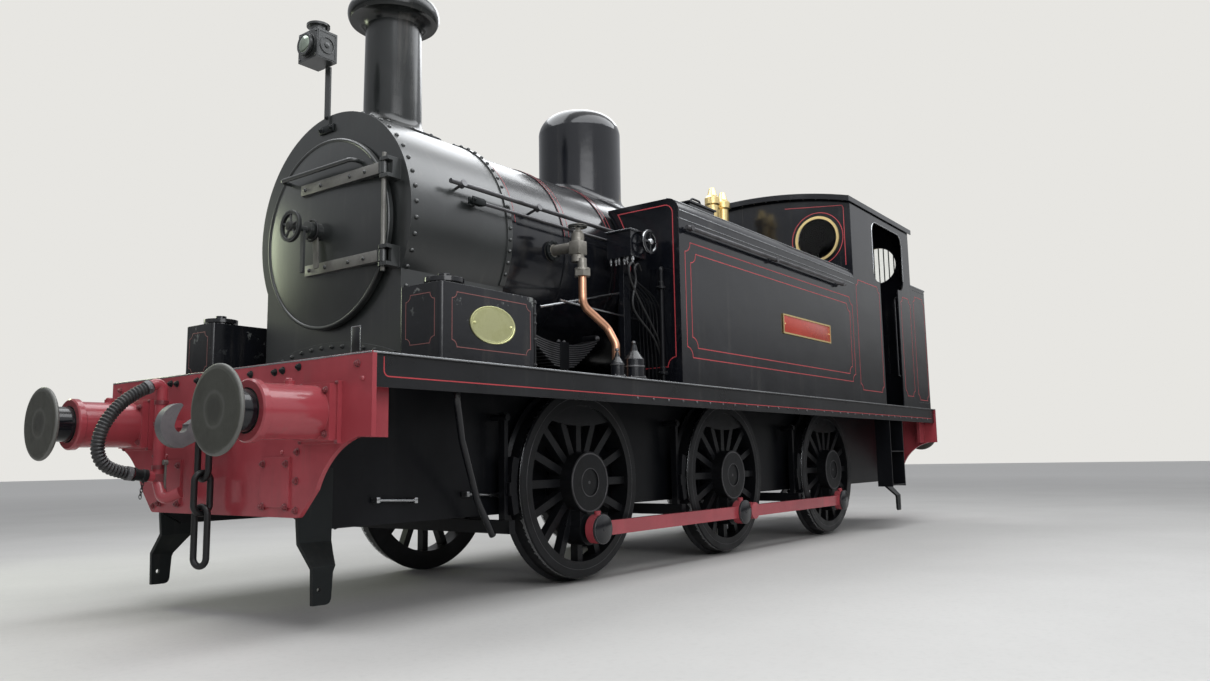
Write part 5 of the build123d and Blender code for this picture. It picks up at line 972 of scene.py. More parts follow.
# Oil pots on the left running board: place along the engine, radius and top
OIL_POTS = ((2.18, 0.044, 1.508), (1.985, 0.070, 1.574))
POT_Y, POT_FLANGE, POT_JOINT = 1.150, 0.016, 1.42
POT_BALL = ((0.006, -0.006), (0.006, 0.004), (0.013, 0.009), (0.014, 0.016), (0.011, 0.025), (0.0, 0.029))


class ENGINE_OT_valve_fittings(bpy.types.Operator):
    """Add bonnets, union nuts, flange bolts and handwheels of the feed valves, and dress the oil pots"""

    bl_idname = "engine.valve_fittings"
    bl_label = "Valves and Oil Pots"

    def execute(self, context):
        pale, dark, pots = Form(), Form(), Form()
        x = VALVE_X
        for side in SIDES:
            y, elbow, flange = side * VALVE_Y, side * ELBOW_Y, (x, side * FLANGE_Y, FLANGE_Z)
            for z, *ring in ELBOW_RINGS:
                pale.ring((x, elbow, z), UP, *ring)
            half = VALVE_HALF_WIDTH
            pale.block((x - half, y - half, VALVE_FOOT), (x + half, y + half, VALVE_TOP), 0.010)
            pale.turned((x, y, GLAND_Z), UP, GLAND_NUT, 6)
            start = math.radians(30)
            bolts = circle(flange, (0, -1, 0), FLANGE_BOLT_REACH, FLANGE_BOLTS, start)
            for place, turn in zip(bolts, turns(FLANGE_BOLTS, start)):
                dark.bolt(place, (0, side, 0), FLANGE_BOLT, turn)
            dark.ring(flange, (0, side, 0), *FLANGE_RING)
            dark.handwheel((x, y, VALVE_WHEEL_Z), UP, *VALVE_WHEEL)
            dark.turned((x, y, VALVE_WHEEL_Z - 0.013), UP, WHEEL_HUB, 12)
        for x, radius, top in OIL_POTS:
            pots.turned((x, POT_Y, top), UP, POT_BALL, 24)
            pots.ring((x, POT_Y, ON_FOOTPLATE), UP, radius - 0.004, radius + 0.010, 0.0, POT_FLANGE, 40)
            pots.ring((x, POT_Y, POT_JOINT), UP, radius - 0.004, radius + 0.003, 0.0, 0.010, 40)
            for place in circle((x, POT_Y, ON_FOOTPLATE + POT_FLANGE), UP, radius + 0.003, 4, math.radians(20)):
                pots.bolt(place, UP, 0.006)
        pale.save("valve_bonnets", "gunmetal", "brass")
        dark.save("valve_handwheels", "guard black", "guard_black")
        pots.save("oil_pot_tops", "spring steel", "bright_steel")
        return {"FINISHED"}


# Head lamp: the middle of its body, its front face, and half sizes of its panels
LAMP_X, LAMP_Y, LAMP_Z, LAMP_FACE = 3.688, -0.055, 3.413, 3.763
LAMP_HALF_WIDTH, PANEL_HALF_LENGTH, PANEL_HALF_HEIGHT = 0.095, 0.063, 0.083
LENS_RADIUS, LENS_RISE, LENS_FACE = 0.056, 0.012, 3.787
# Rings round the lens: face, inner and outer radius, start and end from the face, sides
LENS_RINGS = ((3.776, 0.055, 0.070, 0.0, 0.016, 56), (LAMP_FACE, 0.060, 0.080, -0.001, 0.006, 56))
SIDE_RING, SIDE_KNOB = (0.046, 0.055, -0.002, 0.005), ((0.018, -0.001), (0.018, 0.004), (0.0, 0.008))
LAMP_RIVET_REACH, LAMP_RIVET_HEIGHTS = 0.080, (3.490, 3.336)
LAMP_HOOK = ((-0.105, 3.508), (-0.118, 3.560), (-0.100, 3.590), (-0.085, 3.560))


class ENGINE_OT_lamp_fittings(bpy.types.Operator):
    """Panel the head lamp, set its lens in a rim and hang its small hook"""

    bl_idname = "engine.lamp_fittings"
    bl_label = "Head Lamp"

    def execute(self, context):
        case, lens = Form(), Form()
        for side in SIDES:
            y, out = LAMP_Y + side * LAMP_HALF_WIDTH, (0, side, 0)
            case.ring((LAMP_X, y, LAMP_Z), out, *SIDE_RING)
            case.turned((LAMP_X, y, LAMP_Z), out, SIDE_KNOB, 24)
            low = (LAMP_X - PANEL_HALF_LENGTH, LAMP_Z - PANEL_HALF_HEIGHT)
            high = (LAMP_X + PANEL_HALF_LENGTH, LAMP_Z + PANEL_HALF_HEIGHT)
            case.line(on_side(y, box_corners(low, high)), out, 0.009, 0.0025)
            for z in LAMP_RIVET_HEIGHTS:
                case.rivet((LAMP_FACE, LAMP_Y + side * LAMP_RIVET_REACH, z), FORWARD, 0.007)
        for face, *ring in LENS_RINGS:
            case.ring((face, LAMP_Y, LAMP_Z), FORWARD, *ring)
        case.tube(eased(on_front(LAMP_X, LAMP_HOOK), 5), 0.004, 8)
        dome = [(LENS_RADIUS * math.cos(a), LENS_RISE * math.sin(a)) for a in turns(36)[:9]]
        lens.turned((LENS_FACE, LAMP_Y, LAMP_Z), FORWARD, [(LENS_RADIUS, -0.003), *dome, (0.0, LENS_RISE)], 40)
        case.save("lamp_case", "smokebox grey", "smokebox_black")
        lens.save("lamp_lens", "lens glass", "glass")
        return {"FINISHED"}


# Side fittings: valance rivets and the flange at the back of each sandbox
VALANCE_RIVETS, VALANCE_FIRST, VALANCE_PITCH, VALANCE_HEIGHT = 33, 2.077, 0.19, 1.206
FLANGE_BACK, FLANGE_FRONT, FLANGE_TOP, FLANGE_INNER, FLANGE_OUTER = 3.086, 3.1005, 1.730, 1.165, 1.231
FLANGE_BOLT_HEIGHTS = (1.712, 1.644, 1.591, 1.497, 1.352)
FRAME_ROD_Y = 0.69
# Ends of the rods low on the frames' outer faces, as (along, up)
FRAME_RODS = (((3.778, 0.612), (3.511, 0.599)), ((3.105, 0.616), (2.802, 0.598)))
FRONT_IRON_X, FRONT_IRON_SPAN, FRONT_IRON_TOP = 4.25, (1.060, 1.130), 1.470
CROWN, EAVE, ROOF_HALF_WIDTH = rail(3.60), rail(3.43), 1.255
BUNKER_RIVETS, BUNKER_RIVET_FIRST, BUNKER_RIVET_PITCH = 7, -3.76, 0.066
BUNKER_RIVET_HEIGHTS = (1.40, 2.735)
ROOF_RIVETS, ROOF_RIVET_FIRST, ROOF_RIVET_PITCH, ROOF_RIVET_DROP = 17, -1.16, 0.145, 0.045
GAUGE_PLACE = (-2.063, 0.420, 2.728)
GAUGE_DIAL, GAUGE_RIM = ((0.072, -0.002), (0.072, 0.002), (0.0, 0.002)), (0.069, 0.082, -0.002, 0.006, 56)
GAUGE_HAND = ((0.40, 2.70), (0.455, 2.775))


class ENGINE_OT_side_fittings(bpy.types.Operator):
    """Bolt the valances and sandbox flanges, and add the front iron, frame rods and the boiler-end dial"""

    bl_idname = "engine.side_fittings"
    bl_label = "Side Fittings"

    def execute(self, context):
        bolts, flanges, irons, rods, dials, rims = (Form() for _ in range(6))
        for side in SIDES:
            out = (0, side, 0)
            for number in range(VALANCE_RIVETS):
                place = (VALANCE_FIRST - VALANCE_PITCH * number, side * SIDE, VALANCE_HEIGHT)
                bolts.rivet(place, out, 0.0095)
            flanges.block(
                (FLANGE_BACK, side * FLANGE_INNER, ON_FOOTPLATE), (FLANGE_FRONT, side * FLANGE_OUTER, FLANGE_TOP)
            )
            for z in FLANGE_BOLT_HEIGHTS:
                flanges.bolt((FLANGE_BACK, side * (FLANGE_OUTER - 0.019), z), BACKWARD, 0.013, z)
                flanges.bolt((FLANGE_BACK + 0.008, side * (FLANGE_OUTER - 0.002), z), out, 0.0085, z)
            y = side * FRAME_ROD_Y
            for ends in FRAME_RODS:
                rods.tube(on_side(y, ends), 0.009, 12)
                for x, z in ends:
                    rods.block((x - 0.012, y - 0.035, z - 0.016), (x + 0.012, y + 0.016, z + 0.016), 0.003)
            for number in range(BUNKER_RIVETS):
                for z in BUNKER_RIVET_HEIGHTS:
                    place = (BUNKER_RIVET_FIRST - BUNKER_RIVET_PITCH * number, side * SIDE, z)
                    bolts.rivet(place, out, 0.006)
        near, far = FRONT_IRON_SPAN
        foot, x = FOOTPLATE_TOP, FRONT_IRON_X
        irons.block((x - 0.003, near, foot), (x + 0.003, far, FRONT_IRON_TOP), 0.003)
        irons.block((x - 0.015, near, foot), (x + 0.015, far, foot + 0.006))
        outline = ((near + 0.002, 1.345), (near + 0.002, 1.466), (far - 0.002, 1.466), (far - 0.002, 1.345))
        rims.line(on_front(x + 0.0035, outline), FORWARD, 0.004, 0.0006, closed=False)
        for number in range(ROOF_RIVETS):
            y = ROOF_RIVET_FIRST + ROOF_RIVET_PITCH * number
            roof = CROWN - (CROWN - EAVE) * (y / ROOF_HALF_WIDTH) ** 2
            bolts.rivet((CAB_FRONT + 0.001, y, roof - ROOF_RIVET_DROP), FORWARD, 0.008)
        dials.turned(GAUGE_PLACE, BACKWARD, GAUGE_DIAL, 48)
        rims.ring(GAUGE_PLACE, BACKWARD, *GAUGE_RIM)
        rims.line(on_front(GAUGE_PLACE[0] - 0.003, GAUGE_HAND), BACKWARD, 0.005, 0.001, closed=False)
        bolts.save("side_rivets", "dull rivets", "bright_steel")
        flanges.save("sandbox_flanges", "footplate black", "black_paint")
        irons.save("footplate_iron", "footplate black", "black_paint")
        rims.save("bright_rims", "bright steel", "bright_steel")
        rods.save("frame_rods", "bright steel", "bright_steel")
        dials.save("pressure_dial", "dial white", "cab_cream")
        return {"FINISHED"}


# Smokebox: rows of rivets as place along the engine, radius, count round the barrel, lowest and share of a rivet
SHELL_ROW_X = 3.560
SMOKEBOX_ROWS = ((SHELL_ROW_X, SMOKEBOX_RADIUS, 48, 1.93, 1.0), (2.7725, 0.747, 62, 1.95, 0.9))
WING_HALF = 0.655
FRONT_FACE = SMOKEBOX_FRONT + 0.014
WING_RIVETS, WING_RIVET_FOOT, WING_RIVET_PITCH = 5, 1.42, 0.1
ARCH_TOP, ARCH_RADIUS, ARCH_BOLT_DROP = rail(1.512), 2.0, 0.028
ARCH_BOLTS, ARCH_BOLT_FIRST, ARCH_BOLT_PITCH = 12, -0.55, 0.1
CHIMNEY_X, CHIMNEY_RIVET_REACH, SADDLE_THICK = back(1.155), 0.305, 0.014
LAMP_FOOT_Y, LAMP_FOOT_SPAN = -0.055, (2.885, 2.935)


class ENGINE_OT_smokebox_rivets(bpy.types.Operator):
    """Rivet the smokebox shell, its rear ring, the arch plate and the chimney's foot"""

    bl_idname = "engine.smokebox_rivets"
    bl_label = "Smokebox Rivets"

    def execute(self, context):
        radius = sizes().rivet
        rows = Form()
        for x, reach, count, lowest, share in SMOKEBOX_ROWS:
            for angle in turns(count, math.pi / count):
                out = Vector((0, math.cos(angle), math.sin(angle)))
                place = Vector((x, 0, BOILER_AXIS)) + reach * out
                if place.z > lowest:
                    rows.rivet(place, out, radius * share)
        for side in SIDES:
            for number in range(WING_RIVETS):
                z = WING_RIVET_FOOT + WING_RIVET_PITCH * number
                rows.rivet((SHELL_ROW_X, side * WING_HALF, z), (0, side, 0), radius)
        for number in range(ARCH_BOLTS):
            y = ARCH_BOLT_FIRST + ARCH_BOLT_PITCH * number
            z = ARCH_TOP - ARCH_RADIUS + math.sqrt(ARCH_RADIUS ** 2 - y ** 2) - ARCH_BOLT_DROP
            rows.bolt((FRONT_FACE, y, z), FORWARD, 0.8 * radius, 0.4 * number)
        for x, y, _ in circle((CHIMNEY_X, 0, 0), UP, CHIMNEY_RIVET_REACH, 12, math.radians(15)):
            rise = math.sqrt((SMOKEBOX_RADIUS + SADDLE_THICK) ** 2 - y ** 2)
            rows.rivet((x, y, BOILER_AXIS + rise), (0, y, rise), 0.75 * radius)
        rows.save("smokebox_rivets", "smokebox grey", "smokebox_black")
        foot = Form()
        low, high = LAMP_FOOT_SPAN
        foot.block((SMOKEBOX_FRONT, LAMP_FOOT_Y - 0.070, low), (FRONT_FACE, LAMP_FOOT_Y + 0.070, high), 0.003)
        for dy in (-0.050, 0.050):
            foot.bolt((FRONT_FACE, LAMP_FOOT_Y + dy, (low + high) / 2), FORWARD, 0.014)
        foot.bolt((FRONT_FACE - 0.002, LAMP_FOOT_Y, 2.985), FORWARD, 0.011)
        foot.save("lamp_iron_foot", "guard black", "guard_black")
        return {"FINISHED"}


# Smokebox door: its middle, hinge and the straps as height and inner end
DOOR_X, DOOR_Z, DOOR_RIM = FRONT_FACE, rail(2.19), 0.586
HINGE_X, HINGE_Y = SMOKEBOX_FRONT + 0.075, 0.585
STRAP_FACE = HINGE_X + 0.022
STRAPS = ((rail(2.48), -0.18), (rail(1.96), -0.12))
HINGE_ROD_SPANS = ((rail(1.872), rail(1.925)), (rail(1.996), rail(2.444)), (rail(2.516), rail(2.573)))
LEVER_FACE, LEVER_LINE = 3.716, ((0.004, 2.222), (0.020, 1.985))
HAND_NUT = (3.742, 0, DOOR_Z)
HANDWHEEL = (DOOR_X + 0.273, 0, DOOR_Z)


class ENGINE_OT_door_fittings(bpy.types.Operator):
    """Face the strap hinges, the hinge rod and the rim of the smokebox door"""

    bl_idname = "engine.door_fittings"
    bl_label = "Smokebox Door Fittings"

    def execute(self, context):
        straps, heads, lever, nut, wheel = (Form() for _ in range(5))
        outer = STRAP_FACE + 0.0025
        for z, inner in STRAPS:
            straps.block((STRAP_FACE - 0.0005, inner + 0.002, z - 0.0335), (outer, 0.56, z + 0.0335), 0.001)
            for y in (inner + 0.045, inner + 0.20, 0.30, 0.44):
                heads.rivet((outer, y, z), FORWARD, 0.013)
        for low, high in HINGE_ROD_SPANS:
            straps.tube([(HINGE_X, HINGE_Y, low), (HINGE_X, HINGE_Y, high)], 0.0136, 16)
        heads.tube(circle((DOOR_X + 0.024, 0, DOOR_Z), FORWARD, DOOR_RIM, 144), 0.0125, 12, closed=True)
        lever.line(on_front(LEVER_FACE, LEVER_LINE), FORWARD, 0.046, 0.0045, closed=False)
        nut.handwheel(HAND_NUT, FORWARD, 0.064, 0.0075, (0.045, 0.064), 0.007, 20, 8)
        wheel.tube(circle(HANDWHEEL, FORWARD, 0.085, 48), 0.0125, 10, closed=True)
        wheel.turned(HANDWHEEL, FORWARD, ((0.026, 0.012), (0.022, 0.021), (0.0, 0.021)), 24)
        straps.save("door_straps", "strap steel", "bright_steel", "door")
        heads.save("door_rim", "smokebox grey", "smokebox_black", "door")
        lever.save("door_inner_lever", "strap steel", "bright_steel", "door")
        nut.save("door_hand_nut", "chain iron", "guard_black", "door")
        wheel.save("door_handwheel_rim", "chain iron", "guard_black", "door")
        return {"FINISHED"}


# Red lining: panels as lower rear and upper front corner, and the hollow of their corners
SIDE_PANELS = (
    ((-1.80, 1.53), (1.425, 2.385), 0.075), ((-1.725, 1.605), (1.35, 2.31), 0.075),
    ((-2.60, 1.46), (-1.93, 2.60), 0.06), ((-3.62, 1.46), (-3.30, 2.60), 0.06), ((-4.13, 1.43), (-3.74, 2.66), 0.06),
)
BUNKER_PANEL = ((-1.10, 1.46), (1.10, 2.66), 0.07)
SANDBOX_SIDE_PANEL = ((3.142, 1.402), (3.755, 1.692), 0.035)
SANDBOX_FRONT_PANEL = ((0.965, 1.42), (1.185, 1.685), 0.035)
SANDBOX_FRONT = back(0.45)
WINDOW_CENTRE, WINDOW_LINE_RADIUS = (CAB_FRONT, 0.865, rail(3.04)), 0.283
LINED_BANDS, BAND_RISE, BAND_LINE_INSET = (1.56, 2.12, 2.68), 0.007, 0.024
BAND_LINE_START, BAND_LINE_SWEEP = math.radians(8), math.radians(164)
VALANCE_LINE = [(4.195, 1.315), (4.195, 1.252), *arc((4.165, 1.25), 0.03, -15, -90, 5), (-4.15, 1.22)]
# The line on the tank's front: its outer edge, foot and inner edge, and its rounded and hollow corners
PLATE_EDGE, PLATE_FOOT, PLATE_INNER = 1.183, 1.46, 0.76
PLATE_ROUND, PLATE_HOLLOW, BARREL_LINE_RADIUS = 0.068, 0.07, 0.80


def tank_front_line():
    """The line round the tank's front plate, hollow at the lower outer corner."""
    way = arc((PLATE_EDGE - PLATE_ROUND, 2.592), PLATE_ROUND, 90, 0, 7)
    way.append((PLATE_EDGE, PLATE_FOOT + PLATE_HOLLOW))
    way += arc((PLATE_EDGE, PLATE_FOOT), PLATE_HOLLOW, 90, 180, 6)
    way += [(PLATE_INNER, PLATE_FOOT), (PLATE_INNER, BOILER_AXIS - 0.22)]
    start, end = (math.degrees(math.asin(rise / BARREL_LINE_RADIUS)) for rise in (-0.1, 0.4))
    return way + arc((0, BOILER_AXIS), BARREL_LINE_RADIUS, start, end, 9)


def side_lines(form, pairs, width, closed=True):
    """A line on both outer sides of the engine."""
    for points in mirrored(on_side(SIDE, pairs)):
        form.line(points, (0, points[0].y, 0), width, closed=closed)


def front_lines(form, points, width, closed=True):
    """A line that faces forward, and its mirror image."""
    for way in mirrored(points):
        form.line(way, FORWARD, width, closed=closed)


class ENGINE_OT_lining(bpy.types.Operator):
    """Draw the red lines on tanks, cab, bunker, sandboxes, valances and boiler bands"""

    bl_idname = "engine.lining"
    bl_label = "Red Lining"

    def execute(self, context):
        width = sizes().lining
        lines, boxes, valance, bands = (Form() for _ in range(4))
        for panel in SIDE_PANELS:
            side_lines(lines, notched(*panel), width)
        front_lines(lines, on_front(TANK_FRONT, tank_front_line()), width)
        lines.line(on_front(BUNKER_BACK, notched(*BUNKER_PANEL)), BACKWARD, width)
        front_lines(lines, circle(WINDOW_CENTRE, FORWARD, WINDOW_LINE_RADIUS, 72), width)
        corner = [(1.165, 2.75), (1.165, 3.36)]
        corner += [(1.15 - 0.08 * step, 3.385 + 0.009 * step) for step in range(9)]
        front_lines(lines, on_front(CAB_FRONT, corner), width, closed=False)
        lines.save("body_lining", "lining red", "red_paint")

        side_lines(boxes, notched(*SANDBOX_SIDE_PANEL), 0.55 * width)
        front_lines(boxes, on_front(SANDBOX_FRONT, notched(*SANDBOX_FRONT_PANEL)), 0.55 * width)
        boxes.save("sandbox_lining", "faded lining", "red_paint")

        side_lines(valance, VALANCE_LINE, 0.8 * width, closed=False)
        valance.save("valance_lining", "lining red", "red_paint")

        for distance in LINED_BANDS:
            for shift in (-BAND_LINE_INSET, BAND_LINE_INSET):
                middle = (back(distance) + shift, 0, BOILER_AXIS)
                points = circle(middle, FORWARD, BOILER_RADIUS + BAND_RISE, 80, BAND_LINE_START, BAND_LINE_SWEEP)
                bands.line(points, lambda p: (0, p.y, p.z - BOILER_AXIS), 0.5 * width, closed=False)
        bands.save("boiler_band_lining", "lining red", "red_paint")
        return {"FINISHED"}


# Plates: the oval's edge as share of its size and height above the sheet
OVAL_PLACE, OVAL_HALF_LENGTH, OVAL_HALF_HEIGHT, OVAL_THICK = (3.45, 1.543), 0.176, 0.104, 0.006
OVAL_PROFILE = (
    (1.0, -0.001), (1.0, OVAL_THICK), (0.955, OVAL_THICK + 0.001), (0.935, 0.6 * OVAL_THICK),
    (0.895, 0.6 * OVAL_THICK), (0.89, 0.75 * OVAL_THICK), (0.88, 0.75 * OVAL_THICK), (0.875, 0.6 * OVAL_THICK),
    (0.0, 0.6 * OVAL_THICK),
)
NAMEPLATE_LOW, NAMEPLATE_HIGH = (-1.18, 1.868), (-0.17, 2.028)
NAMEPLATE_BACK, NAMEPLATE_FACE = SIDE + 0.003, SIDE + 0.007


class ENGINE_OT_plates(bpy.types.Operator):
    """Fix the blank oval plates on the sandboxes and the blank nameplates on the tanks"""

    bl_idname = "engine.plates"
    bl_label = "Blank Plates"

    def execute(self, context):
        ovals, grounds, edges = Form(), Form(), Form()
        (low_x, low_z), (high_x, high_z) = NAMEPLATE_LOW, NAMEPLATE_HIGH
        middle_x, middle_z = OVAL_PLACE
        for side in SIDES:
            out = (0, side, 0)
            ovals.skin([
                ovals.corners(
                    (
                        middle_x + share * OVAL_HALF_LENGTH * math.cos(a), side * (SIDE + rise),
                        middle_z + share * OVAL_HALF_HEIGHT * math.sin(a),
                    )
                    for a in (turns(64) if share else (0.0,))
                )
                for share, rise in OVAL_PROFILE
            ])
            for dx in (-0.142, 0.142):
                ovals.rivet((middle_x + dx, side * (SIDE + 0.0035), middle_z), out, 0.008)
            grounds.block((low_x, side * NAMEPLATE_BACK, low_z), (high_x, side * NAMEPLATE_FACE, high_z), 0.0008)
            face = side * NAMEPLATE_FACE
            edges.line(on_side(face, box_corners(NAMEPLATE_LOW, NAMEPLATE_HIGH)), out, 0.013, 0.004)
            for x in (low_x + 0.03, high_x - 0.03):
                edges.rivet((x, face, 0.5 * (low_z + high_z)), out, 0.007)
        ovals.save("sandbox_plates", "plate brass", "brass")
        grounds.save("nameplates", "nameplate red", "red_paint")
        edges.save("nameplate_edges", "brass", "brass")
        return {"FINISHED"}


# Beading: across and up, and the share of a bead's radius; the tank beads are real beading in bright steel as a painted
# highlight
TANK_BEADS = (
    (SIDE + 0.001, 2.607, 0.7), (1.208, 2.679, 0.7), (1.136, 2.709, 0.7), (SIDE + 0.001, 2.545, 0.6),
)
# Painted highlight, a bright strip on the footplate's edges: across, low, high, rear and front end, and half span of
# the front strip
EDGE_STRIP, EDGE_LOW, EDGE_HIGH, EDGE_REAR, EDGE_FRONT, EDGE_END = 1.2535, 1.3262, 1.3342, -4.24, 4.275, 1.25
BUNKER_RIM, RIM_ROUND = 2.778, 0.06
# The cab's side opening: its foot, its front and rear edge, and the arcs of its upper corners
OPENING_FOOT, OPENING_FRONT, OPENING_REAR = 2.79, -2.47, -3.42
OPENING_ROUND, OPENING_ARC_HEIGHT = 0.12, 3.208


class ENGINE_OT_beading(bpy.types.Operator):
    """Lay bright strips along the footplate's edges as a painted highlight, and the beading of tanks, cab and bunker,
    with the tank beads in bright steel as a painted highlight
    """

    bl_idname = "engine.beading"
    bl_label = "Beading and Bright Edges"

    def execute(self, context):
        bead = sizes().bead
        bright, beads, rims = Form(), Form(), Form()
        rear_end, front_end = CAB_FRONT + 0.004, TANK_FRONT - 0.002
        rounded = arc((BUNKER_BACK + RIM_ROUND, SIDE - RIM_ROUND), RIM_ROUND, 90, 180, 6)
        way = [(CAB_BACK, SIDE), *rounded, *((x, -y) for x, y in reversed(rounded)), (CAB_BACK, -SIDE)]
        rims.tube([(x, y, BUNKER_RIM) for x, y in way], 1.4 * bead)
        opening = [
            (OPENING_FRONT, OPENING_FOOT),
            *arc((OPENING_FRONT - OPENING_ROUND, OPENING_ARC_HEIGHT), OPENING_ROUND, 0, 90, 6),
            *arc((OPENING_REAR + OPENING_ROUND, OPENING_ARC_HEIGHT), OPENING_ROUND, 90, 180, 6),
            (OPENING_REAR, OPENING_FOOT),
        ]
        for side in SIDES:
            strip = side * EDGE_STRIP
            # Painted highlight: a bright strip along the footplate's side edge
            bright.block((EDGE_REAR, strip - 0.002, EDGE_LOW), (EDGE_FRONT, strip + 0.002, EDGE_HIGH), 0.0008)
            # Real half-round beading, whose bright steel is a painted highlight along the tank's black top edges
            for y, z, share in TANK_BEADS:
                beads.tube([(rear_end, side * y, z), (front_end, side * y, z)], share * bead)
            rims.tube(on_side(side * SIDE, opening), bead, 8)
        # Painted highlight: a bright strip along the footplate's front edge
        bright.block((BEAM_FACE - 0.0015, -EDGE_END, EDGE_LOW), (BEAM_FACE + 0.0015, EDGE_END, EDGE_HIGH), 0.0008)
        bright.save("footplate_edge", "bright steel", "bright_steel")
        beads.save("tank_beading", "bright steel", "bright_steel")
        rims.save("cab_beading", "bright steel", "bright_steel")
        return {"FINISHED"}


# Pipes, rods and small gear beside the boiler
OIL_PIPE_COUNT = 7
OIL_NUT = ((0.013, 0.0), (0.013, 0.018), (0.008, 0.022), (0.008, 0.04), (0.0, 0.04))
# Looping pipes: place of the loop's top, and how far the run below it hangs down
LOOPS = ((1.845, 0.0), (1.78, 0.07))
LOOP_RADIUS = 0.0082
UNION_COUNT = 6
UNION = (
    (0.008, 0.0), (0.008, 0.008), (0.0125, 0.010), (0.0125, 0.028), (0.007, 0.032), (0.007, 0.05), (0.0, 0.05),
)
LUBRICATOR_LID = ((1.652, 1.058), (1.858, 1.058), (1.858, 0.832), (1.652, 0.832))
LUBRICATOR_TOP = 2.428
CRANK_WHEEL_X, CRANK_WHEEL_Y, CRANK_WHEEL_Z, CRANK_WHEEL_RADIUS = back(2.59), 1.105, rail(2.322), 0.08
CRANK_HUB = ((0.022, -0.01), (0.022, 0.006), (0.014, 0.012), (0.0, 0.012))
TANK_PIPE_X, TANK_PIPE_Y, TANK_PIPE_RADIUS, TANK_PIPE_SPAN = 1.58, 1.12, 0.016, (1.35, 2.125)
COLLAR_HEIGHTS = (1.40, 2.02)
PIPE_COLLAR = ((0.016, 0.0), (0.036, 0.0), (0.036, 0.014), (0.022, 0.02), (0.022, 0.05), (0.016, 0.055))
# Rods beside the barrel, ahead of the tank: both ends and radius
SIDE_RODS = (((2.55, 0.80, 1.805), (1.66, 0.80, 2.015), 0.0105), ((2.463, 0.90, 1.85), (1.52, 0.90, 1.815), 0.009))
FORK_HEIGHT, FORK_SPAN, FORK_ROOT, FORK_CHEEKS = rail(2.37), (3.055, 3.16), (3.04, 3.06), (0.755, 0.789)
FORK_BOLT = (3.145, 0.794, FORK_HEIGHT)


class ENGINE_OT_pipework(bpy.types.Operator):
    """Run the oil pipes, rods and the tank's own pipe along the boiler's left side"""

    bl_idname = "engine.pipework"
    bl_label = "Pipes and Rods"

    def execute(self, context):
        oil, loops, brights, supply, rods, fork = (Form() for _ in range(6))
        for number in range(OIL_PIPE_COUNT):
            x, y = 1.675 + 0.025 * number, 0.87 + 0.026 * number
            oil.turned((x, y, 2.236), DOWN, OIL_NUT, 6)
            sway = 0.02 * math.sin(1.7 * number)
            foot_y = 0.90 + 0.034 * number
            way = [
                (x, y, 2.2), (x - 0.005, y + sway, 2.10), (1.60 - 0.009 * number, 0.93 + 0.022 * number, 1.93),
                (1.545, 0.90 + 0.032 * number, 1.72 - 0.02 * number), (1.535, foot_y, 1.52),
                (1.535, foot_y, ON_FOOTPLATE),
            ]
            oil.tube(eased(way, 7), sizes().thin_pipe, 8)
        oil.save("oil_pipes", "frame black", "black_paint")

        for start, drop in LOOPS:
            way = [
                (start - 0.05, 1.05, 2.14), (start, 1.06, 2.18), (start + 0.045, 1.06, 2.14),
                (start + 0.04, 1.065, 2.05), (1.80 + drop, 1.075, 1.92 - drop), (1.66, 1.09, 1.74 - drop),
                (1.565, 1.09, 1.60 - drop), (1.545, 1.09, ON_FOOTPLATE),
            ]
            loops.tube(eased(way, 8), LOOP_RADIUS)
        loops.save("looping_pipes", "chain iron", "chain_iron")

        for number in range(UNION_COUNT):
            place = (1.832 - 0.012 * (number % 2), 0.862 + 0.036 * number, 2.232)
            brights.turned(place, DOWN, UNION, 6)
        brights.tube([(x, y, LUBRICATOR_TOP) for x, y in LUBRICATOR_LID], 0.0022, 8, closed=True)
        wheel = circle((CRANK_WHEEL_X, CRANK_WHEEL_Y, CRANK_WHEEL_Z), (0, 1, 0), CRANK_WHEEL_RADIUS, 48)
        brights.tube(wheel, 0.0095, closed=True)
        brights.turned((CRANK_WHEEL_X, CRANK_WHEEL_Y + 0.011, CRANK_WHEEL_Z), (0, 1, 0), CRANK_HUB, 20)
        brights.save("lubricator_brights", "bright steel", "bright_steel")

        x, y = TANK_PIPE_X, TANK_PIPE_Y
        supply.tube([(x, y, z) for z in TANK_PIPE_SPAN], TANK_PIPE_RADIUS, 14)
        for z in COLLAR_HEIGHTS:
            supply.turned((x, y, z), UP, PIPE_COLLAR, 20)
            for place in circle((x, y, z + 0.014), UP, 0.028, 4, math.radians(45)):
                supply.bolt(place, UP, 0.006)
        bend = [(x, y, 2.12), (x - 0.005, y, 2.16), (x - 0.04, y - 0.02, 2.18), (x - 0.079, y - 0.04, 2.18)]
        supply.tube(eased(bend), TANK_PIPE_RADIUS, 12)
        supply.save("tank_pipe", "frame black", "black_paint")

        for *ends, radius in SIDE_RODS:
            rods.tube(ends, radius, 12)
        rods.save("side_rods", "bright steel", "bright_steel")

        low, high = FORK_SPAN
        for y in FORK_CHEEKS:
            fork.block((low, y - 0.005, FORK_HEIGHT - 0.022), (high, y + 0.005, FORK_HEIGHT + 0.022))
        fork.bolt(FORK_BOLT, (0, 1, 0), 0.012)
        (low, high), (near, far) = FORK_ROOT, FORK_CHEEKS
        fork.block((low, near - 0.003, FORK_HEIGHT - 0.018), (high, far + 0.003, FORK_HEIGHT + 0.018), 0.003)
        fork.save("control_rod_fork", "guard black", "guard_black")
        return {"FINISHED"}


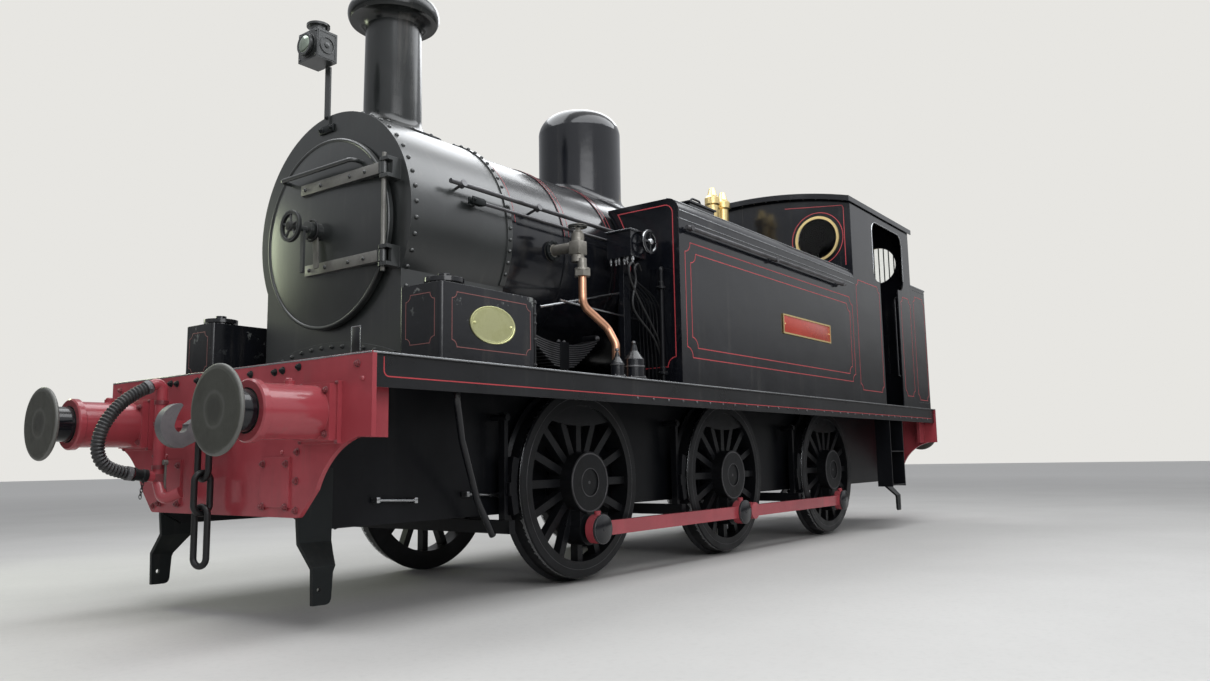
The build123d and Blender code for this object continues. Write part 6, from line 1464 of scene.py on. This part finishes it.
# Stage: camera as solved from the view, and lamps as name, place, aim, size, power and colour
CAMERA_PLACE = (7.0278, 4.6419, 0.8177)
CAMERA_TURN, CAMERA_PITCH, CAMERA_ROLL = 0.63737, 0.12812, -0.01713
CAMERA_PIXELS = 910.0533
SENSOR_WIDTH = 36.0
FLOOR_RADIUS = 60.0
EVEN_LIGHT = 0.42
LAMPS = (
    ("roof light left", (0.5, 3.1, 7.4), (0.5, 0.775, 1.0), (13.0, 3.6), "overhead", (0.95, 0.975, 1.0)),
    ("roof light right", (0.5, -2.4, 7.4), (0.5, -0.6, 1.0), (13.0, 3.6), "overhead", (0.95, 0.975, 1.0)),
    ("side lamp", (6.5, 8.5, 4.5), (1.5, 0.0, 1.5), (6.0, 4.0), "side", (0.97, 0.98, 1.0)),
    ("window lamp", (4.15, -4.35, 2.9), (3.7, -0.45, 2.2), (0.9, 1.3), "window", (0.90, 1.0, 0.68)),
)


def area_lamp(name, place, aim, size, power, colour):
    """A soft rectangular lamp."""
    data = bpy.data.lights.new(name, "AREA")
    data.shape = "RECTANGLE"
    data.size, data.size_y = size
    data.energy = power
    data.color = colour
    lamp = bpy.data.objects.new(name, data)
    bpy.context.scene.collection.objects.link(lamp)
    lamp.location = place
    lamp.rotation_euler = (Vector(aim) - Vector(place)).to_track_quat("-Z", "Y").to_euler()


def camera_matrix():
    """The camera's place and turn, from its heading, pitch and roll."""
    turn, pitch, roll = CAMERA_TURN, CAMERA_PITCH, CAMERA_ROLL
    ahead = Vector((-math.cos(turn) * math.cos(pitch), -math.sin(turn) * math.cos(pitch), math.sin(pitch)))
    level = Vector((-math.sin(turn), math.cos(turn), 0.0))
    upward = level.cross(ahead)
    right = level * math.cos(roll) + upward * math.sin(roll)
    top = -level * math.sin(roll) + upward * math.cos(roll)
    return Matrix.Translation(CAMERA_PLACE) @ Matrix((right, top, -ahead)).transposed().to_4x4()


class ENGINE_OT_stage(bpy.types.Operator):
    """Lay the floor, hang the lamps and set up the camera"""

    bl_idname = "engine.stage"
    bl_label = "Stage"

    def execute(self, context):
        stage = context.scene.engine_stage
        floor = Form()
        floor.mesh.faces.new(floor.corners(circle((0, 0, 0), UP, FLOOR_RADIUS, 96)))
        data = bpy.data.meshes.new("floor")
        floor.mesh.to_mesh(data)
        floor.mesh.free()
        data.materials.append(floor_concrete("pale concrete", stage.floor))
        ground = bpy.data.objects.new("floor", data)
        context.scene.collection.objects.link(ground)
        surroundings(stage.background, EVEN_LIGHT)
        for name, place, aim, size, power, colour in LAMPS:
            area_lamp(name, place, aim, size, getattr(stage, power), colour)
        view = bpy.data.cameras.new("camera")
        view.sensor_width = SENSOR_WIDTH
        view.lens = CAMERA_PIXELS / IMAGE_WIDTH * SENSOR_WIDTH
        view.clip_end = 200.0
        camera = bpy.data.objects.new("camera", view)
        context.scene.collection.objects.link(camera)
        camera.matrix_world = camera_matrix()
        context.scene.camera = camera
        context.scene.view_settings.view_transform = "Standard"
        return {"FINISHED"}


OPERATORS = (
    ENGINE_OT_paint, ENGINE_OT_brake_hose, ENGINE_OT_beam_bolts, ENGINE_OT_buffer_plungers,
    ENGINE_OT_brake_pipe_fittings, ENGINE_OT_wheel_fittings, ENGINE_OT_spring_leaves, ENGINE_OT_valve_fittings,
    ENGINE_OT_lamp_fittings, ENGINE_OT_side_fittings, ENGINE_OT_smokebox_rivets,
    ENGINE_OT_door_fittings, ENGINE_OT_lining, ENGINE_OT_plates, ENGINE_OT_beading, ENGINE_OT_pipework,
    ENGINE_OT_stage,
)
SETTINGS = {"engine_colours": EngineColours, "engine_sizes": EngineSizes, "engine_stage": EngineStage}


class ENGINE_PT_dressing(bpy.types.Panel):
    """Settings and steps of the engine's dressing"""

    bl_idname = "ENGINE_PT_dressing"
    bl_label = "Tank Engine"
    bl_space_type = "VIEW_3D"
    bl_region_type = "UI"
    bl_category = "Tank Engine"

    def draw(self, context):
        for name, group in SETTINGS.items():
            box = self.layout.box()
            for setting in group.__annotations__:
                box.prop(getattr(context.scene, name), setting)
        for operator in OPERATORS:
            self.layout.operator(operator.bl_idname)


def register():
    for group in SETTINGS.values():
        bpy.utils.register_class(group)
    for name, group in SETTINGS.items():
        setattr(bpy.types.Scene, name, bpy.props.PointerProperty(type=group))
    for kind in (*OPERATORS, ENGINE_PT_dressing):
        bpy.utils.register_class(kind)


def unregister():
    for kind in reversed((*OPERATORS, ENGINE_PT_dressing)):
        bpy.utils.unregister_class(kind)
    for name, group in SETTINGS.items():
        delattr(bpy.types.Scene, name)
        bpy.utils.unregister_class(group)


def dress_engine():
    """Runs every step in order."""
    register()
    for operator in OPERATORS:
        group, name = operator.bl_idname.split(".")
        getattr(getattr(bpy.ops, group), name)()


if __name__ == "__main__":
    dress_engine()
